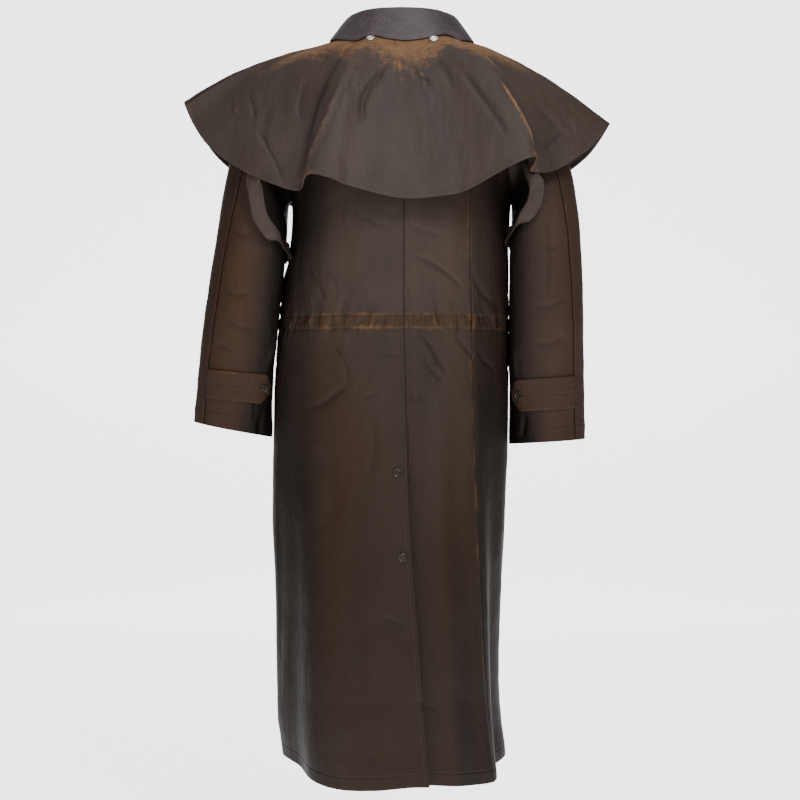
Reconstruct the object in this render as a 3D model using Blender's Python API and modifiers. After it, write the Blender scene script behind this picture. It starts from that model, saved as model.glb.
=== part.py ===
"""A waxed-cotton duster coat with a shoulder cape, standing open and hollow as if worn.

Metres, +Z up. The wearer faces -Y, the wearer's left is +X, and the origin is the middle of
the neck opening at the height of the nape, where the shoulders carry the coat.
"""

import math

import bmesh
import bpy
from mathutils import Vector

# Cloth
CLOTH = 0.0018          # waxed cotton with its seam turnings
LEATHER = 0.0024        # the collar's fall
SEAM_GAP = 0.0003       # between two pieces that are sewn together
SLOPE_RUN = 0.0004      # how far apart the points lie that a slope is taken from

# Heights of the body
CHEST_Z = -0.300        # where the shaped yoke becomes plain rings
VENT_TOP_Z = -0.603
HEM_Z = -1.240

# Neck, shoulder and armhole
NECK_X = -0.003
NECK_HALF_WIDTH = 0.080
NECK_BACK = 0.078
NECK_FRONT = 0.086
NECK_SIDE_Z = 0.012
NECK_BACK_Z = 0.000
NECK_FRONT_Z = -0.055
NECK_STEP_DEG = 15.0    # the neckline's facets
SHOULDER_TIP_X = 0.185
SHOULDER_TIP_Z = -0.036
UNDERARM_Z = -0.270
ARMHOLE_HALF_DEPTH = 0.078
ARMHOLE_SCOOP = 0.010   # how far the armhole bites into the chest and the back
ARMHOLE_DEG = 42.0      # how much of each quarter of the top edge is armhole
ARMHOLE_BACK_DEG = 30.0 # where the armhole reaches its full depth
ARMHOLE_RUN = 0.32      # how far the cloth keeps to the armhole's line, as a share of its way
SHOULDER_DEG = 66.0     # where the shoulder seam meets the neckline
# How far up the cloth stays as full as at the chest, from the underarm to the centre
# Columns: quarter deg, share
FULLNESS_ROWS = (
    (0.0, 0.33),
    (15.0, 0.46),
    (30.0, 0.62),
    (45.0, 0.66),
    (60.0, 0.58),
    (75.0, 0.47),
    (90.0, 0.42),
)

# Half widths and depths of the body, a row for each height
# Columns: z, left, right, back, front
BODY_ROWS = (
    (-0.300, 0.190, 0.192, 0.156, 0.150),
    (-0.345, 0.194, 0.190, 0.151, 0.150),
    (-0.410, 0.203, 0.191, 0.140, 0.147),
    (-0.480, 0.212, 0.191, 0.131, 0.141),
    (-0.550, 0.219, 0.191, 0.138, 0.147),
    (-0.690, 0.223, 0.189, 0.163, 0.164),
    (-0.830, 0.224, 0.184, 0.188, 0.180),
    (-0.970, 0.218, 0.178, 0.211, 0.195),
    (-1.110, 0.216, 0.175, 0.232, 0.209),
    (-1.185, 0.214, 0.180, 0.243, 0.216),
    (-1.240, 0.206, 0.186, 0.250, 0.220),
)

# Seams of the body in degrees round it: 0 is the wearer's left side, 90 the centre back
SEAM_COLUMNS = ("z", "left_seam", "centre", "right_seam")
SEAM_ROWS = (
    (-0.300, 24.5, 92.0, 128.0),
    (-0.480, 26.0, 92.0, 129.0),
    (-0.620, 18.0, 93.0, 130.0),
    (-0.830, 16.0, 95.0, 133.5),
    (-1.000, 16.0, 99.5, 138.0),
    (-1.240, 16.0, 104.8, 144.0),
)
LEFT_SEAM_TURN = 126.0   # where the side seams run into the armholes
RIGHT_SEAM_TURN = 72.0

# The skirt's folds: where they lie at the waist and the hem, half width, height at the hem
# Columns: waist deg, hem deg, spread deg, height
FOLD_ROWS = (
    (20.0, 18.0, 8.0, 0.003),
    (36.0, 33.0, 9.0, -0.009),
    (56.0, 52.0, 13.0, 0.006),
    (128.0, 143.0, 8.0, 0.011),
    (147.0, 160.0, 9.0, -0.017),
    (205.0, 208.0, 11.0, 0.011),
    (226.0, 229.0, 10.0, -0.012),
    (245.0, 247.0, 8.0, 0.009),
    (292.0, 290.0, 8.0, 0.008),
    (311.0, 310.0, 10.0, -0.012),
    (333.0, 332.0, 11.0, 0.012),
)

# How far the hem is lifted or dips round the body, from where the lift begins
HEM_LIFT_FROM = 1.020
# Columns: deg, lift
HEM_ROWS = (
    (0.0, 0.006),
    (18.0, 0.012),
    (42.0, 0.000),
    (60.0, -0.008),
    (78.0, -0.005),
    (95.0, 0.001),
    (116.0, -0.004),
    (140.0, -0.012),
    (158.0, -0.006),
    (180.0, 0.002),
    (270.0, 0.000),
    (360.0, 0.006),
)

# Vent at the centre back and overlap at the centre front
VENT_RECESS = 0.015     # the under layer falls this far behind the top one
VENT_UNDERLAP = 0.045
VENT_SPREAD = 0.060     # how far the under layer takes to come back out
FRONT_LAP = 0.030       # each front passes the centre line by this much
FRONT_RECESS = 0.0040

# Sleeves, a row for each ring from the armhole to the cuff
# Columns: inner x, inner z, outer x, outer z, half depth, mid y
LEFT_SLEEVE = (
    (0.1960, -0.276, 0.213, -0.043, 0.0775, 0.000),
    (0.1975, -0.282, 0.238, -0.056, 0.0780, 0.000),
    (0.1985, -0.292, 0.263, -0.085, 0.0790, 0.000),
    (0.1990, -0.305, 0.282, -0.127, 0.0800, 0.000),
    (0.2000, -0.322, 0.294, -0.177, 0.0810, 0.000),
    (0.2025, -0.350, 0.306, -0.236, 0.0810, 0.000),
    (0.2072, -0.388, 0.319, -0.308, 0.0800, 0.000),
    (0.2115, -0.442, 0.333, -0.398, 0.0770, -0.001),
    (0.2180, -0.502, 0.345, -0.478, 0.0730, -0.003),
    (0.2240, -0.562, 0.353, -0.546, 0.0690, -0.005),
    (0.2260, -0.622, 0.359, -0.607, 0.0640, -0.007),
    (0.2270, -0.686, 0.364, -0.659, 0.0610, -0.009),
)
RIGHT_SLEEVE = (
    (0.1970, -0.276, 0.212, -0.044, 0.0775, 0.000),
    (0.1975, -0.282, 0.235, -0.060, 0.0780, 0.000),
    (0.1975, -0.292, 0.259, -0.092, 0.0790, 0.000),
    (0.1970, -0.305, 0.278, -0.135, 0.0800, 0.000),
    (0.1968, -0.322, 0.293, -0.184, 0.0810, 0.000),
    (0.1966, -0.350, 0.305, -0.240, 0.0810, 0.000),
    (0.1960, -0.388, 0.315, -0.312, 0.0800, 0.000),
    (0.1950, -0.442, 0.321, -0.402, 0.0770, -0.001),
    (0.1950, -0.506, 0.3235, -0.482, 0.0730, -0.003),
    (0.1945, -0.570, 0.324, -0.556, 0.0690, -0.005),
    (0.1935, -0.634, 0.325, -0.624, 0.0640, -0.007),
    (0.1930, -0.698, 0.3255, -0.689, 0.0610, -0.009),
)
# Behind the body's side the sleeves bulge inwards
SLEEVE_BULGE = 0.026
SLEEVE_BULGE_DEG = (124.0, 34.0)    # middle and spread
SLEEVE_BULGE_RINGS = (2.8, 6.8)     # where it begins and is full
SLEEVE_BULGE_FADE = (9.4, 12.8)     # where it lessens, at the cuff
SLEEVE_BACK_SEAM = (72.0, 48.0)     # degrees round from the outer line, at armhole and cuff
SLEEVE_FRONT_SEAM = -126.0
RING_DEG = 18.0
TAB_RING = (9.30, 10.13)            # the cuff tab's edges, counted in sleeve rings
TAB_TIP_DEG = 138.0
TAB_POINT_DEG = 16.0                # the pointed end's share of the tab
TAB_LIFT = 0.0008

# The cape's hem, a row for each turn of it: direction, reach from the neck, height
# Columns: deg, reach, z
CAPE_ROWS = (
    (-89.4, 0.1960, -0.285),
    (-72.0, 0.2120, -0.281),
    (-57.0, 0.2560, -0.264),
    (-43.0, 0.2580, -0.262),
    (-26.0, 0.2800, -0.238),
    (-10.0, 0.3380, -0.180),
    (0.0, 0.3790, -0.098),
    (5.0, 0.3620, -0.140),
    (13.0, 0.3330, -0.190),
    (21.2, 0.2920, -0.230),
    (30.9, 0.2530, -0.258),
    (41.4, 0.2270, -0.273),
    (52.9, 0.2507, -0.254),
    (61.9, 0.2437, -0.261),
    (70.5, 0.2120, -0.276),
    (90.0, 0.1920, -0.291),
    (108.0, 0.2010, -0.288),
    (120.3, 0.2259, -0.277),
    (131.3, 0.2863, -0.237),
    (138.3, 0.3006, -0.225),
    (149.0, 0.2560, -0.238),
    (158.9, 0.2820, -0.232),
    (167.4, 0.3214, -0.198),
    (171.6, 0.3433, -0.175),
    (180.0, 0.3690, -0.136),
    (190.0, 0.3400, -0.185),
    (205.0, 0.2800, -0.238),
    (222.0, 0.2540, -0.262),
    (236.0, 0.2550, -0.262),
    (251.0, 0.2130, -0.280),
    (269.4, 0.1960, -0.285),
)
# The rows at the front edge, the sides and the middle of the back, and where each leaves the neck
CAPE_SIDE_ROWS = (0, 6, 15, 24, 30)
CAPE_NECK_DEG = (-88.8, 0.0, 90.0, 180.0, 268.8)
CAPE_SEAM_ROWS = (6.35, 23.7)       # the shoulder seams, just behind the ridge
CAPE_NECK_OUT = 0.0035
CAPE_NECK_LIFT = 0.0042
# How far out and down the cape's roll over the shoulders and the back lies
# Columns: deg, reach, drop
CROWN_ROWS = (
    (-90.0, 0.74, 0.20),
    (-30.0, 0.78, 0.24),
    (0.0, 0.63, 0.30),
    (30.0, 0.76, 0.20),
    (90.0, 0.74, 0.15),
    (150.0, 0.74, 0.18),
    (180.0, 0.50, 0.20),
    (210.0, 0.76, 0.24),
    (270.0, 0.74, 0.20),
)

# Collar
STAND_LIFT = 0.0007                 # the stand's seam to the neckline
COLLAR_TOP_HALF_WIDTH = 0.0915
COLLAR_TOP_BACK = 0.084
COLLAR_TOP_FRONT = 0.098
COLLAR_TOP_BACK_Z = 0.0490
COLLAR_TOP_FRONT_Z = -0.012
COLLAR_EDGE_HALF_WIDTH = 0.1270
COLLAR_EDGE_BACK = 0.1060
COLLAR_EDGE_FRONT = 0.1400
COLLAR_EDGE_LIFT = 0.0034           # from the cape's outer side to the collar's
COLLAR_OPEN_DEG = 7.0               # half of the gap at the throat

# Straps that hold the cape down: one loop under each arm
STRAP_WIDTH = 0.026
STRAP_STEPS = 28
STRAP_CAPE_DOWN = 0.86              # where its ends are sewn inside the cape
STRAP_ROWS_ON_CAPE = {"left": (9.40, 4.10), "right": (20.10, 26.10)}
# Its free part: the middle line and the way its width lies
# Columns: x, y, z, across x, across y, across z
LEFT_STRAP = (
    (0.2440, 0.1090, -0.268, 1.00, 0.1, 0.05),
    (0.2360, 0.1000, -0.312, 1.00, 0.1, 0.15),
    (0.2110, 0.0930, -0.346, 0.80, 0.1, 0.50),
    (0.1895, 0.0690, -0.364, 0.30, 0.0, 0.95),
    (0.1942, 0.0420, -0.367, 0.00, 0.0, 1.00),
    (0.1980, 0.0240, -0.368, 0.00, 0.0, 1.00),
    (0.2008, 0.0000, -0.368, -0.10, 0.0, 1.00),
    (0.2070, -0.0520, -0.362, 0.15, 0.0, 1.00),
    (0.2260, -0.0900, -0.345, 0.80, -0.1, 0.50),
    (0.2400, -0.1080, -0.302, 1.00, -0.1, 0.15),
    (0.2450, -0.1150, -0.258, 1.00, -0.1, 0.05),
)
RIGHT_STRAP = (
    (0.2310, 0.1090, -0.258, 1.00, 0.1, 0.05),
    (0.2260, 0.1000, -0.290, 1.00, 0.1, 0.15),
    (0.2050, 0.0930, -0.318, 0.80, 0.1, 0.50),
    (0.1842, 0.0690, -0.337, 0.30, 0.0, 0.95),
    (0.1882, 0.0420, -0.342, 0.00, 0.0, 1.00),
    (0.1913, 0.0240, -0.343, 0.00, 0.0, 1.00),
    (0.1935, 0.0000, -0.343, 0.00, 0.0, 1.00),
    (0.2010, -0.0520, -0.337, 0.15, 0.0, 1.00),
    (0.2190, -0.0900, -0.318, 0.80, -0.1, 0.50),
    (0.2320, -0.1070, -0.290, 1.00, -0.1, 0.15),
    (0.2380, -0.1130, -0.264, 1.00, -0.1, 0.05),
)

# Snap fasteners: radius and height of each point of the turned cap
SNAP_RADIUS = 0.0080
SNAP_PROFILE = (
    (0.00, 0.0019),
    (0.45, 0.0016),
    (0.62, 0.0026),
    (0.86, 0.0026),
    (1.00, 0.0014),
    (1.00, 0.0000),
    (0.00, 0.0000),
)
SNAP_STEPS = 12
VENT_SNAP_Z = (-0.741, -0.878)
VENT_SNAP_IN = 0.016                # from the vent's edge
FIRST_SNAP_DOWN = 0.30              # on the yoke, between the neck and the chest
FRONT_SNAP_Z = (-0.300, -0.460, -0.620, -0.780, -0.940)
CAPE_SNAPS = (("left", 0.0495, -0.0105), ("right", -0.0575, -0.0105))

MATERIALS = {
    "oilskin": ((0.060, 0.042, 0.030), 0.55, 0.0),
    "collar": ((0.045, 0.036, 0.034), 0.65, 0.0),
    "metal": ((0.180, 0.160, 0.130), 0.35, 0.9),
}


def material(name):
    """The named material, made once."""
    found = bpy.data.materials.get(name)
    if found:
        return found
    colour, roughness, metallic = MATERIALS[name]
    made = bpy.data.materials.new(name)
    made.use_nodes = True
    shader = made.node_tree.nodes["Principled BSDF"]
    shader.inputs["Base Color"].default_value = (*colour, 1.0)
    shader.inputs["Roughness"].default_value = roughness
    shader.inputs["Metallic"].default_value = metallic
    return made


def smooth(value, low=0.0, high=1.0):
    """0 below low, 1 above high, and an even S between them."""
    share = min(1.0, max(0.0, (value - low) / (high - low)))
    return share * share * (3 - 2 * share)


def mix(a, b, share):
    return a + (b - a) * share


def spline(rows, at):
    """A row read from a table at a whole or part row number, on a smooth curve."""
    last = len(rows) - 1
    at = min(max(at, 0.0), float(last))
    i = min(int(at), last - 1)
    t = at - i
    near = [rows[min(max(k, 0), last)] for k in (i - 1, i, i + 1, i + 2)]
    return [
        0.5 * (2 * b + (c - a) * t + (2 * a - 5 * b + 4 * c - d) * t * t
               + (3 * b - a - 3 * c + d) * t ** 3)
        for a, b, c, d in zip(*near)
    ]


def row_at(rows, value):
    """The part row number where a table's first column has this value."""
    falling = rows[0][0] > rows[-1][0]
    for i in range(len(rows) - 1):
        a, b = rows[i][0], rows[i + 1][0]
        if (a >= value >= b) if falling else (a <= value <= b):
            return i + (value - a) / (b - a)
    before = value > rows[0][0] if falling else value < rows[0][0]
    return 0.0 if before else float(len(rows) - 1)


def table(rows, value):
    return spline(rows, row_at(rows, value))


# The body.
def fold_height(deg, z):
    """How far the skirt's folds stand out at a place on the body."""
    share = smooth(-z, 0.50, 1.20)
    height = 0.0
    for waist_deg, hem_deg, spread, tall in FOLD_ROWS:
        middle = mix(waist_deg, hem_deg, share)
        away = (deg - middle + 180.0) % 360.0 - 180.0
        height += tall * (0.12 + 0.88 * share) * math.exp(-((away / spread) ** 2))
    return height * smooth(-z, 0.34, 0.52)


def ring_point(deg, z):
    """A point of the body below the chest."""
    _, left, right, back, front = table(BODY_ROWS, z)
    c, s = math.cos(math.radians(deg)), math.sin(math.radians(deg))
    flat = Vector(((left if c > 0 else right) * c, (back if s > 0 else front) * s, 0.0))
    flat += flat.normalized() * fold_height(deg % 360.0, z)
    _, lift = table(HEM_ROWS, deg % 360.0)
    return Vector((flat.x, flat.y, z + lift * smooth(-z, HEM_LIFT_FROM, -HEM_Z)))


def neck_point(deg, out=0.0, lift=0.0):
    """A point of the neckline, or of a line that runs outside and above it."""
    c, s = math.cos(math.radians(deg)), math.sin(math.radians(deg))
    reach = NECK_BACK if s > 0 else NECK_FRONT
    end_z = NECK_BACK_Z if s > 0 else NECK_FRONT_Z
    z = mix(NECK_SIDE_Z, end_z, abs(s) ** 1.6)
    return Vector((NECK_X + (NECK_HALF_WIDTH + out) * c, (reach + out) * s, z + lift))


def armhole_point(side, turn_deg):
    """A point of an armhole: 0 is the shoulder tip, 90 the back, 180 the underarm."""
    turn = math.radians(turn_deg)
    high, low = SHOULDER_TIP_Z, UNDERARM_Z
    under_x = abs(ring_point(0.0 if side > 0 else 180.0, CHEST_Z).x) + 0.001
    down = (1 - math.cos(turn)) / 2
    x = mix(SHOULDER_TIP_X, under_x, down) - ARMHOLE_SCOOP * math.sin(turn) ** 2
    z = mix(high, low, down)
    return Vector((side * x, ARMHOLE_HALF_DEPTH * math.sin(turn), z))


def armhole_turn(quarter):
    """How far round the armhole a place on the body's upper edge lies, from its top."""
    if quarter <= ARMHOLE_BACK_DEG:
        share = math.sin(math.radians(quarter)) / math.sin(math.radians(ARMHOLE_BACK_DEG))
        return 180.0 - math.degrees(math.asin(min(share, 1.0)))
    return mix(90.0, 0.0, (quarter - ARMHOLE_BACK_DEG) / (ARMHOLE_DEG - ARMHOLE_BACK_DEG))


def armhole_quarter(turn):
    """The place on the body's upper edge for a turn round the armhole."""
    if turn >= 90.0:
        share = math.sin(math.radians(turn)) * math.sin(math.radians(ARMHOLE_BACK_DEG))
        return math.degrees(math.asin(share))
    return mix(ARMHOLE_DEG, ARMHOLE_BACK_DEG, turn / 90.0)


def armhole_leave(deg, quarter):
    """The direction in which the body's cloth leaves the armhole's edge."""
    side = 1.0 if deg % 360.0 < 90.0 or deg % 360.0 > 270.0 else -1.0
    face = 1.0 if deg % 360.0 <= 180.0 else -1.0
    turn = armhole_turn(min(quarter, ARMHOLE_DEG))
    edge = armhole_point(1.0, turn + 1.0) - armhole_point(1.0, turn - 1.0)
    round_body = math.radians(72.0 * min(1.0, (180.0 - turn) / 90.0))
    facing = Vector((math.cos(round_body), math.sin(round_body), 0.0))
    facing = facing.lerp(Vector((0.0, 0.35, 0.94)), max(0.0, 1 - turn / 90.0))
    away = math.radians(mix(28.0, 90.0, max(0.0, turn - 90.0) / 90.0))
    leave = facing.cross(edge).normalized() * math.sin(away) + edge.normalized() * math.cos(away)
    return Vector((side * leave.x, face * leave.y, leave.z))


def top_point(deg):
    """The body's upper edge: neckline, shoulder seam and armhole in turn."""
    deg = deg % 360.0
    side = 1.0 if deg < 90.0 or deg > 270.0 else -1.0
    face = 1.0 if deg <= 180.0 else -1.0
    quarter = abs((deg + 90.0) % 180.0 - 90.0)
    if quarter <= ARMHOLE_DEG:
        return armhole_point(side, face * armhole_turn(quarter))
    if quarter <= SHOULDER_DEG:
        share = (quarter - ARMHOLE_DEG) / (SHOULDER_DEG - ARMHOLE_DEG)
        tip = Vector((side * SHOULDER_TIP_X, 0.0, SHOULDER_TIP_Z))
        return tip.lerp(neck_point(0.0 if side > 0 else 180.0), share)
    turn = 90.0 * (quarter - SHOULDER_DEG) / (90.0 - SHOULDER_DEG)
    return neck_point(face * (turn if side > 0 else 180.0 - turn))


def yoke_point(deg, share):
    """A point between the upper edge, at 0, and the chest, at 1."""
    top, low = top_point(deg), ring_point(deg, CHEST_Z)
    quarter = abs((deg + 90.0) % 180.0 - 90.0)
    over = smooth(quarter, ARMHOLE_DEG - 8.0, 50.0)
    across = Vector((low.x - top.x, low.y - top.y, 0.0)) * 0.62
    across.z = -0.16 * (top.z - low.z)
    leave = armhole_leave(deg, quarter) * (top - low).length * ARMHOLE_RUN
    first = top + leave.lerp(across, over)
    _, fullness = table(FULLNESS_ROWS, quarter)
    second = low + Vector((0.0, 0.0, (top.z - low.z) * fullness))
    keep = 1 - share
    return (top * keep ** 3 + first * 3 * keep * keep * share
            + second * 3 * keep * share * share + low * share ** 3)


def body_point(deg, down, inset=0.0):
    """A point of the body. down runs from 0 at the upper edge, by 1 at the chest, to 2."""
    if down <= 1.0:
        point = yoke_point(deg, down)
    else:
        point = ring_point(deg, mix(CHEST_Z, HEM_Z, down - 1.0))
    if inset:
        flat = Vector((point.x, point.y, 0.0))
        point = point - flat.normalized() * inset
    return point


def z_at(down):
    return CHEST_Z if down <= 1.0 else mix(CHEST_Z, HEM_Z, down - 1.0)


def down_at(z):
    return 1.0 + (CHEST_Z - z) / (CHEST_Z - HEM_Z)


def seam_deg(which, down):
    """Where a seam lies round the body."""
    at = table(SEAM_ROWS, z_at(down))[SEAM_COLUMNS.index(which)]
    if down >= 1.0 or which == "centre":
        return at
    left = armhole_quarter(LEFT_SEAM_TURN)
    top = left if which == "left_seam" else 180.0 - armhole_quarter(RIGHT_SEAM_TURN)
    return mix(top, at, smooth(down, 0.0, 1.0))


def degrees_for(distance, deg, down):
    """The turn that covers a distance along the cloth at a place on the body."""
    here = body_point(deg, down)
    there = body_point(deg + 0.5, down)
    return 0.5 * distance / max((there - here).length, 1e-6)


# Walls.
def in_collection(thing):
    collection = bpy.data.collections.get("duster_coat")
    if collection is None:
        collection = bpy.data.collections.new("duster_coat")
        bpy.context.scene.collection.children.link(collection)
    collection.objects.link(thing)
    return thing


def wall(name, outer, inner, finish):
    """A cloth wall between two grids of points, with its four edges closed."""
    rows, columns = len(outer), len(outer[0])
    mesh = bpy.data.meshes.new(name)
    shape = bmesh.new()
    skins = [[[shape.verts.new(p) for p in line] for line in grid] for grid in (outer, inner)]
    for r in range(rows - 1):
        for c in range(columns - 1):
            a, b = skins[0], skins[1]
            shape.faces.new((a[r][c], a[r + 1][c], a[r + 1][c + 1], a[r][c + 1]))
            shape.faces.new((b[r][c], b[r][c + 1], b[r + 1][c + 1], b[r + 1][c]))
    rim = [(0, c) for c in range(columns)]
    rim += [(r, columns - 1) for r in range(1, rows)]
    rim += [(rows - 1, c) for c in range(columns - 2, -1, -1)]
    rim += [(r, 0) for r in range(rows - 2, 0, -1)]
    for (r0, c0), (r1, c1) in zip(rim, rim[1:] + rim[:1]):
        a, b = skins
        shape.faces.new((a[r0][c0], a[r1][c1], b[r1][c1], b[r0][c0]))
    bmesh.ops.recalc_face_normals(shape, faces=shape.faces)
    if shape.calc_volume(signed=True) < 0:
        bmesh.ops.reverse_faces(shape, faces=shape.faces)
    shape.to_mesh(mesh)
    shape.free()
    mesh.shade_smooth()
    mesh.set_sharp_from_angle(angle=math.radians(50))
    thing = in_collection(bpy.data.objects.new(name, mesh))
    mesh.materials.append(material(finish))
    return thing


def slope(line):
    """The direction of a line at 0, from its own points a short run apart."""
    rough = max((line(0.01) - line(0.0)).length, (line(-0.01) - line(0.0)).length)
    step = 0.01 * SLOPE_RUN / max(rough, 1e-7)
    return line(step) - line(-step)


def normal_of(surface, u, v, outward):
    """The surface's outward direction at a place, from its own slopes."""
    along = slope(lambda step: surface(u + step, v))
    down = slope(lambda step: surface(u, v + step))
    return along.cross(down).normalized() * outward


def cloth(name, surface, columns, rows, outward, thickness=CLOTH, finish="oilskin", lift=0.0,
          keep=None):
    """A wall on surface(u, v), which is its outer side, or lies lift under its inner side.

    keep(point, u, v) holds a point on its own side of a seam.
    """
    outer, inner = [], []
    for v in rows:
        line_out, line_in = [], []
        for u in columns:
            point, normal = surface(u, v), normal_of(surface, u, v, outward)
            if lift:
                point = point + normal * (lift + thickness)
            inside = point - normal * thickness
            line_out.append(keep(point, u, v) if keep else point)
            line_in.append(keep(inside, u, v) if keep else inside)
        outer.append(line_out)
        inner.append(line_in)
    return wall(name, outer, inner, finish)


def steps(low, high, count):
    return [mix(low, high, i / count) for i in range(count + 1)]


YOKE_ROWS = [0.0, 0.12, FIRST_SNAP_DOWN, 0.50, 0.72]
SKIRT_ROWS = steps(1.0, 2.0, 17)
BODY_DOWN = YOKE_ROWS + SKIRT_ROWS


def top_degrees(start, end):
    """Column places along the upper edge that keep its corners, from start to end."""
    quarter = [armhole_quarter(RING_DEG * i) for i in range(11)]
    quarter += steps(ARMHOLE_DEG, SHOULDER_DEG, 3)
    quarter += steps(SHOULDER_DEG, 90.0, round(90.0 / NECK_STEP_DEG))
    circle = set()
    for q in quarter:
        circle |= {round(v % 360.0, 4) for v in (q, 180.0 - q, 180.0 + q, 360.0 - q)}
    full = sorted(v + turn for v in circle for turn in (-360.0, 0.0, 360.0))
    inside = [v for v in full if start + 1.2 < v < end - 1.2]
    return [start] + inside + [end]


def behind(point, face):
    """The point, held on the back's side, 1, or the front's, -1, of a shoulder seam."""
    y = face * max(face * point.y, SEAM_GAP / 2)
    return Vector((point.x, y, point.z))


def panel(name, first_edge, last_edge, inset=None):
    """A body panel between two edges, each a function of the way down."""
    start, end = first_edge(0.0), last_edge(0.0)
    shares = [(v - start) / (end - start) for v in top_degrees(start, end)]

    def keep(point, share, down):
        deg = mix(first_edge(down), last_edge(down), share) % 360.0
        quarter = abs((deg + 90.0) % 180.0 - 90.0)
        if down > 0.2 or quarter < ARMHOLE_DEG - 0.01:
            return point
        return behind(point, 1.0 if deg < 180.0 else -1.0)

    def surface(share, down):
        deg = mix(first_edge(down), last_edge(down), share)
        return body_point(deg, down, inset(deg, down) if inset else 0.0)

    return cloth(name, surface, shares, BODY_DOWN, outward=-1.0, keep=keep)


def half_gap(which, side, down):
    """A seam's place, moved back by half of the seam gap."""
    deg = seam_deg(which, down)
    return deg + side * degrees_for(SEAM_GAP / 2, deg, down)


def vent_depth(down):
    return smooth(VENT_TOP_Z - z_at(down), 0.0, 0.20)


def under_vent(deg, down):
    """How far the vent's under layer lies behind the top one."""
    deepest = VENT_RECESS * vent_depth(down)
    spread = degrees_for(VENT_SPREAD, 100.0, down)
    return deepest * (1 - smooth(deg - seam_deg("centre", down), 0.0, spread))


def vent_under_edge(down):
    """The under layer's hidden edge: at the seam above the vent, past it below."""
    centre = seam_deg("centre", down)
    lap = VENT_UNDERLAP * smooth(VENT_TOP_Z - z_at(down), 0.09, 0.30)
    return centre + degrees_for(SEAM_GAP / 2 - lap, centre, down)


def front_edge(side):
    """A front's edge, past the centre line: -1 is the wearer's left front, on top."""
    def edge(down):
        return -90.0 + side * degrees_for(FRONT_LAP, -90.0, down)
    return edge


def under_front(deg, down):
    """How far the right front is set in where the left one lies over it."""
    away = (deg + 90.0 + 180.0) % 360.0 - 180.0
    reach = degrees_for(FRONT_LAP, -90.0, down)
    return FRONT_RECESS * smooth(away, -2.3 * reach, -1.3 * reach)


def build_body():
    panel("back_left", lambda d: half_gap("left_seam", 1, d), lambda d: half_gap("centre", -1, d))
    panel("back_right", vent_under_edge, lambda d: half_gap("right_seam", -1, d), under_vent)
    panel("front_left", front_edge(-1), lambda d: half_gap("left_seam", -1, d))
    panel("front_right", lambda d: half_gap("right_seam", 1, d) - 360.0, front_edge(1), under_front)


# Sleeves.
def sleeve_surface(side):
    """surface(degrees round, ring number): ring 0 lies on the armhole's edge."""
    rows = LEFT_SLEEVE if side > 0 else RIGHT_SLEEVE

    def surface(deg, ring):
        hole = armhole_point(side, deg) + Vector((side * SEAM_GAP * 3, 0.0, 0.0))
        if ring < 0.0:
            ring = 0.0
        inner_x, inner_z, outer_x, outer_z, half_depth, mid_y = spline(rows, max(ring - 1.0, 0.0))
        c, s = math.cos(math.radians(deg)), math.sin(math.radians(deg))
        middle, spread = SLEEVE_BULGE_DEG
        away = (deg - middle + 180.0) % 360.0 - 180.0
        bulge = SLEEVE_BULGE * math.exp(-((away / spread) ** 2)) * smooth(ring, *SLEEVE_BULGE_RINGS)
        bulge *= 1 - smooth(ring, *SLEEVE_BULGE_FADE)
        tube = Vector((
            side * (mix(inner_x, outer_x, (1 + c) / 2) - bulge),
            mid_y + half_depth * s,
            mix(inner_z, outer_z, (1 + c) / 2),
        ))
        return hole.lerp(tube, ring) if ring < 1.0 else tube

    return surface


def sleeve_seam(ring):
    return mix(*SLEEVE_BACK_SEAM, smooth(ring, 0.0, 12.0))


def build_sleeve(side, word):
    tube = sleeve_surface(side)
    rings = [0.0, 0.5, 1.0, 2.0, 3.0, 4.0, 5.0, 6.0, 7.0, 8.0, 9.0, 10.0, 11.0, 12.0]
    gap_deg = math.degrees(SEAM_GAP / 2 / 0.07)

    def top(share, ring):
        low = SLEEVE_FRONT_SEAM + gap_deg
        return tube(mix(low, sleeve_seam(ring) - gap_deg, share), ring)

    def under(share, ring):
        low = sleeve_seam(ring) + gap_deg
        return tube(mix(low, 360.0 + SLEEVE_FRONT_SEAM - gap_deg, share), ring)

    top_count = round((SLEEVE_BACK_SEAM[0] - SLEEVE_FRONT_SEAM) / RING_DEG)
    under_count = round(360.0 / RING_DEG) - top_count
    cloth(f"sleeve_{word}_top", top, steps(0.0, 1.0, top_count), rings, -side)
    cloth(f"sleeve_{word}_under", under, steps(0.0, 1.0, under_count), rings, -side)

    def tab(share, across):
        low = sleeve_seam(10.7) + 1.0
        deg = mix(low, TAB_TIP_DEG, share)
        pointed = smooth(deg, TAB_TIP_DEG - TAB_POINT_DEG, TAB_TIP_DEG)
        middle = sum(TAB_RING) / 2
        half = (TAB_RING[1] - TAB_RING[0]) / 2 * (1 - 0.72 * pointed)
        return tube(deg, 1.0 + middle + half * across)

    cloth(f"cuff_tab_{word}", tab, steps(0.0, 1.0, 10), steps(-1.0, 1.0, 4), -side,
          lift=TAB_LIFT)
    return tube


# Cape.
def cape_hem(at):
    """A point of the cape's hem at a whole or part row number."""
    deg, reach, z = spline(CAPE_ROWS, at)
    turn = math.radians(deg)
    return Vector((reach * math.cos(turn), reach * math.sin(turn), z))


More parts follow.
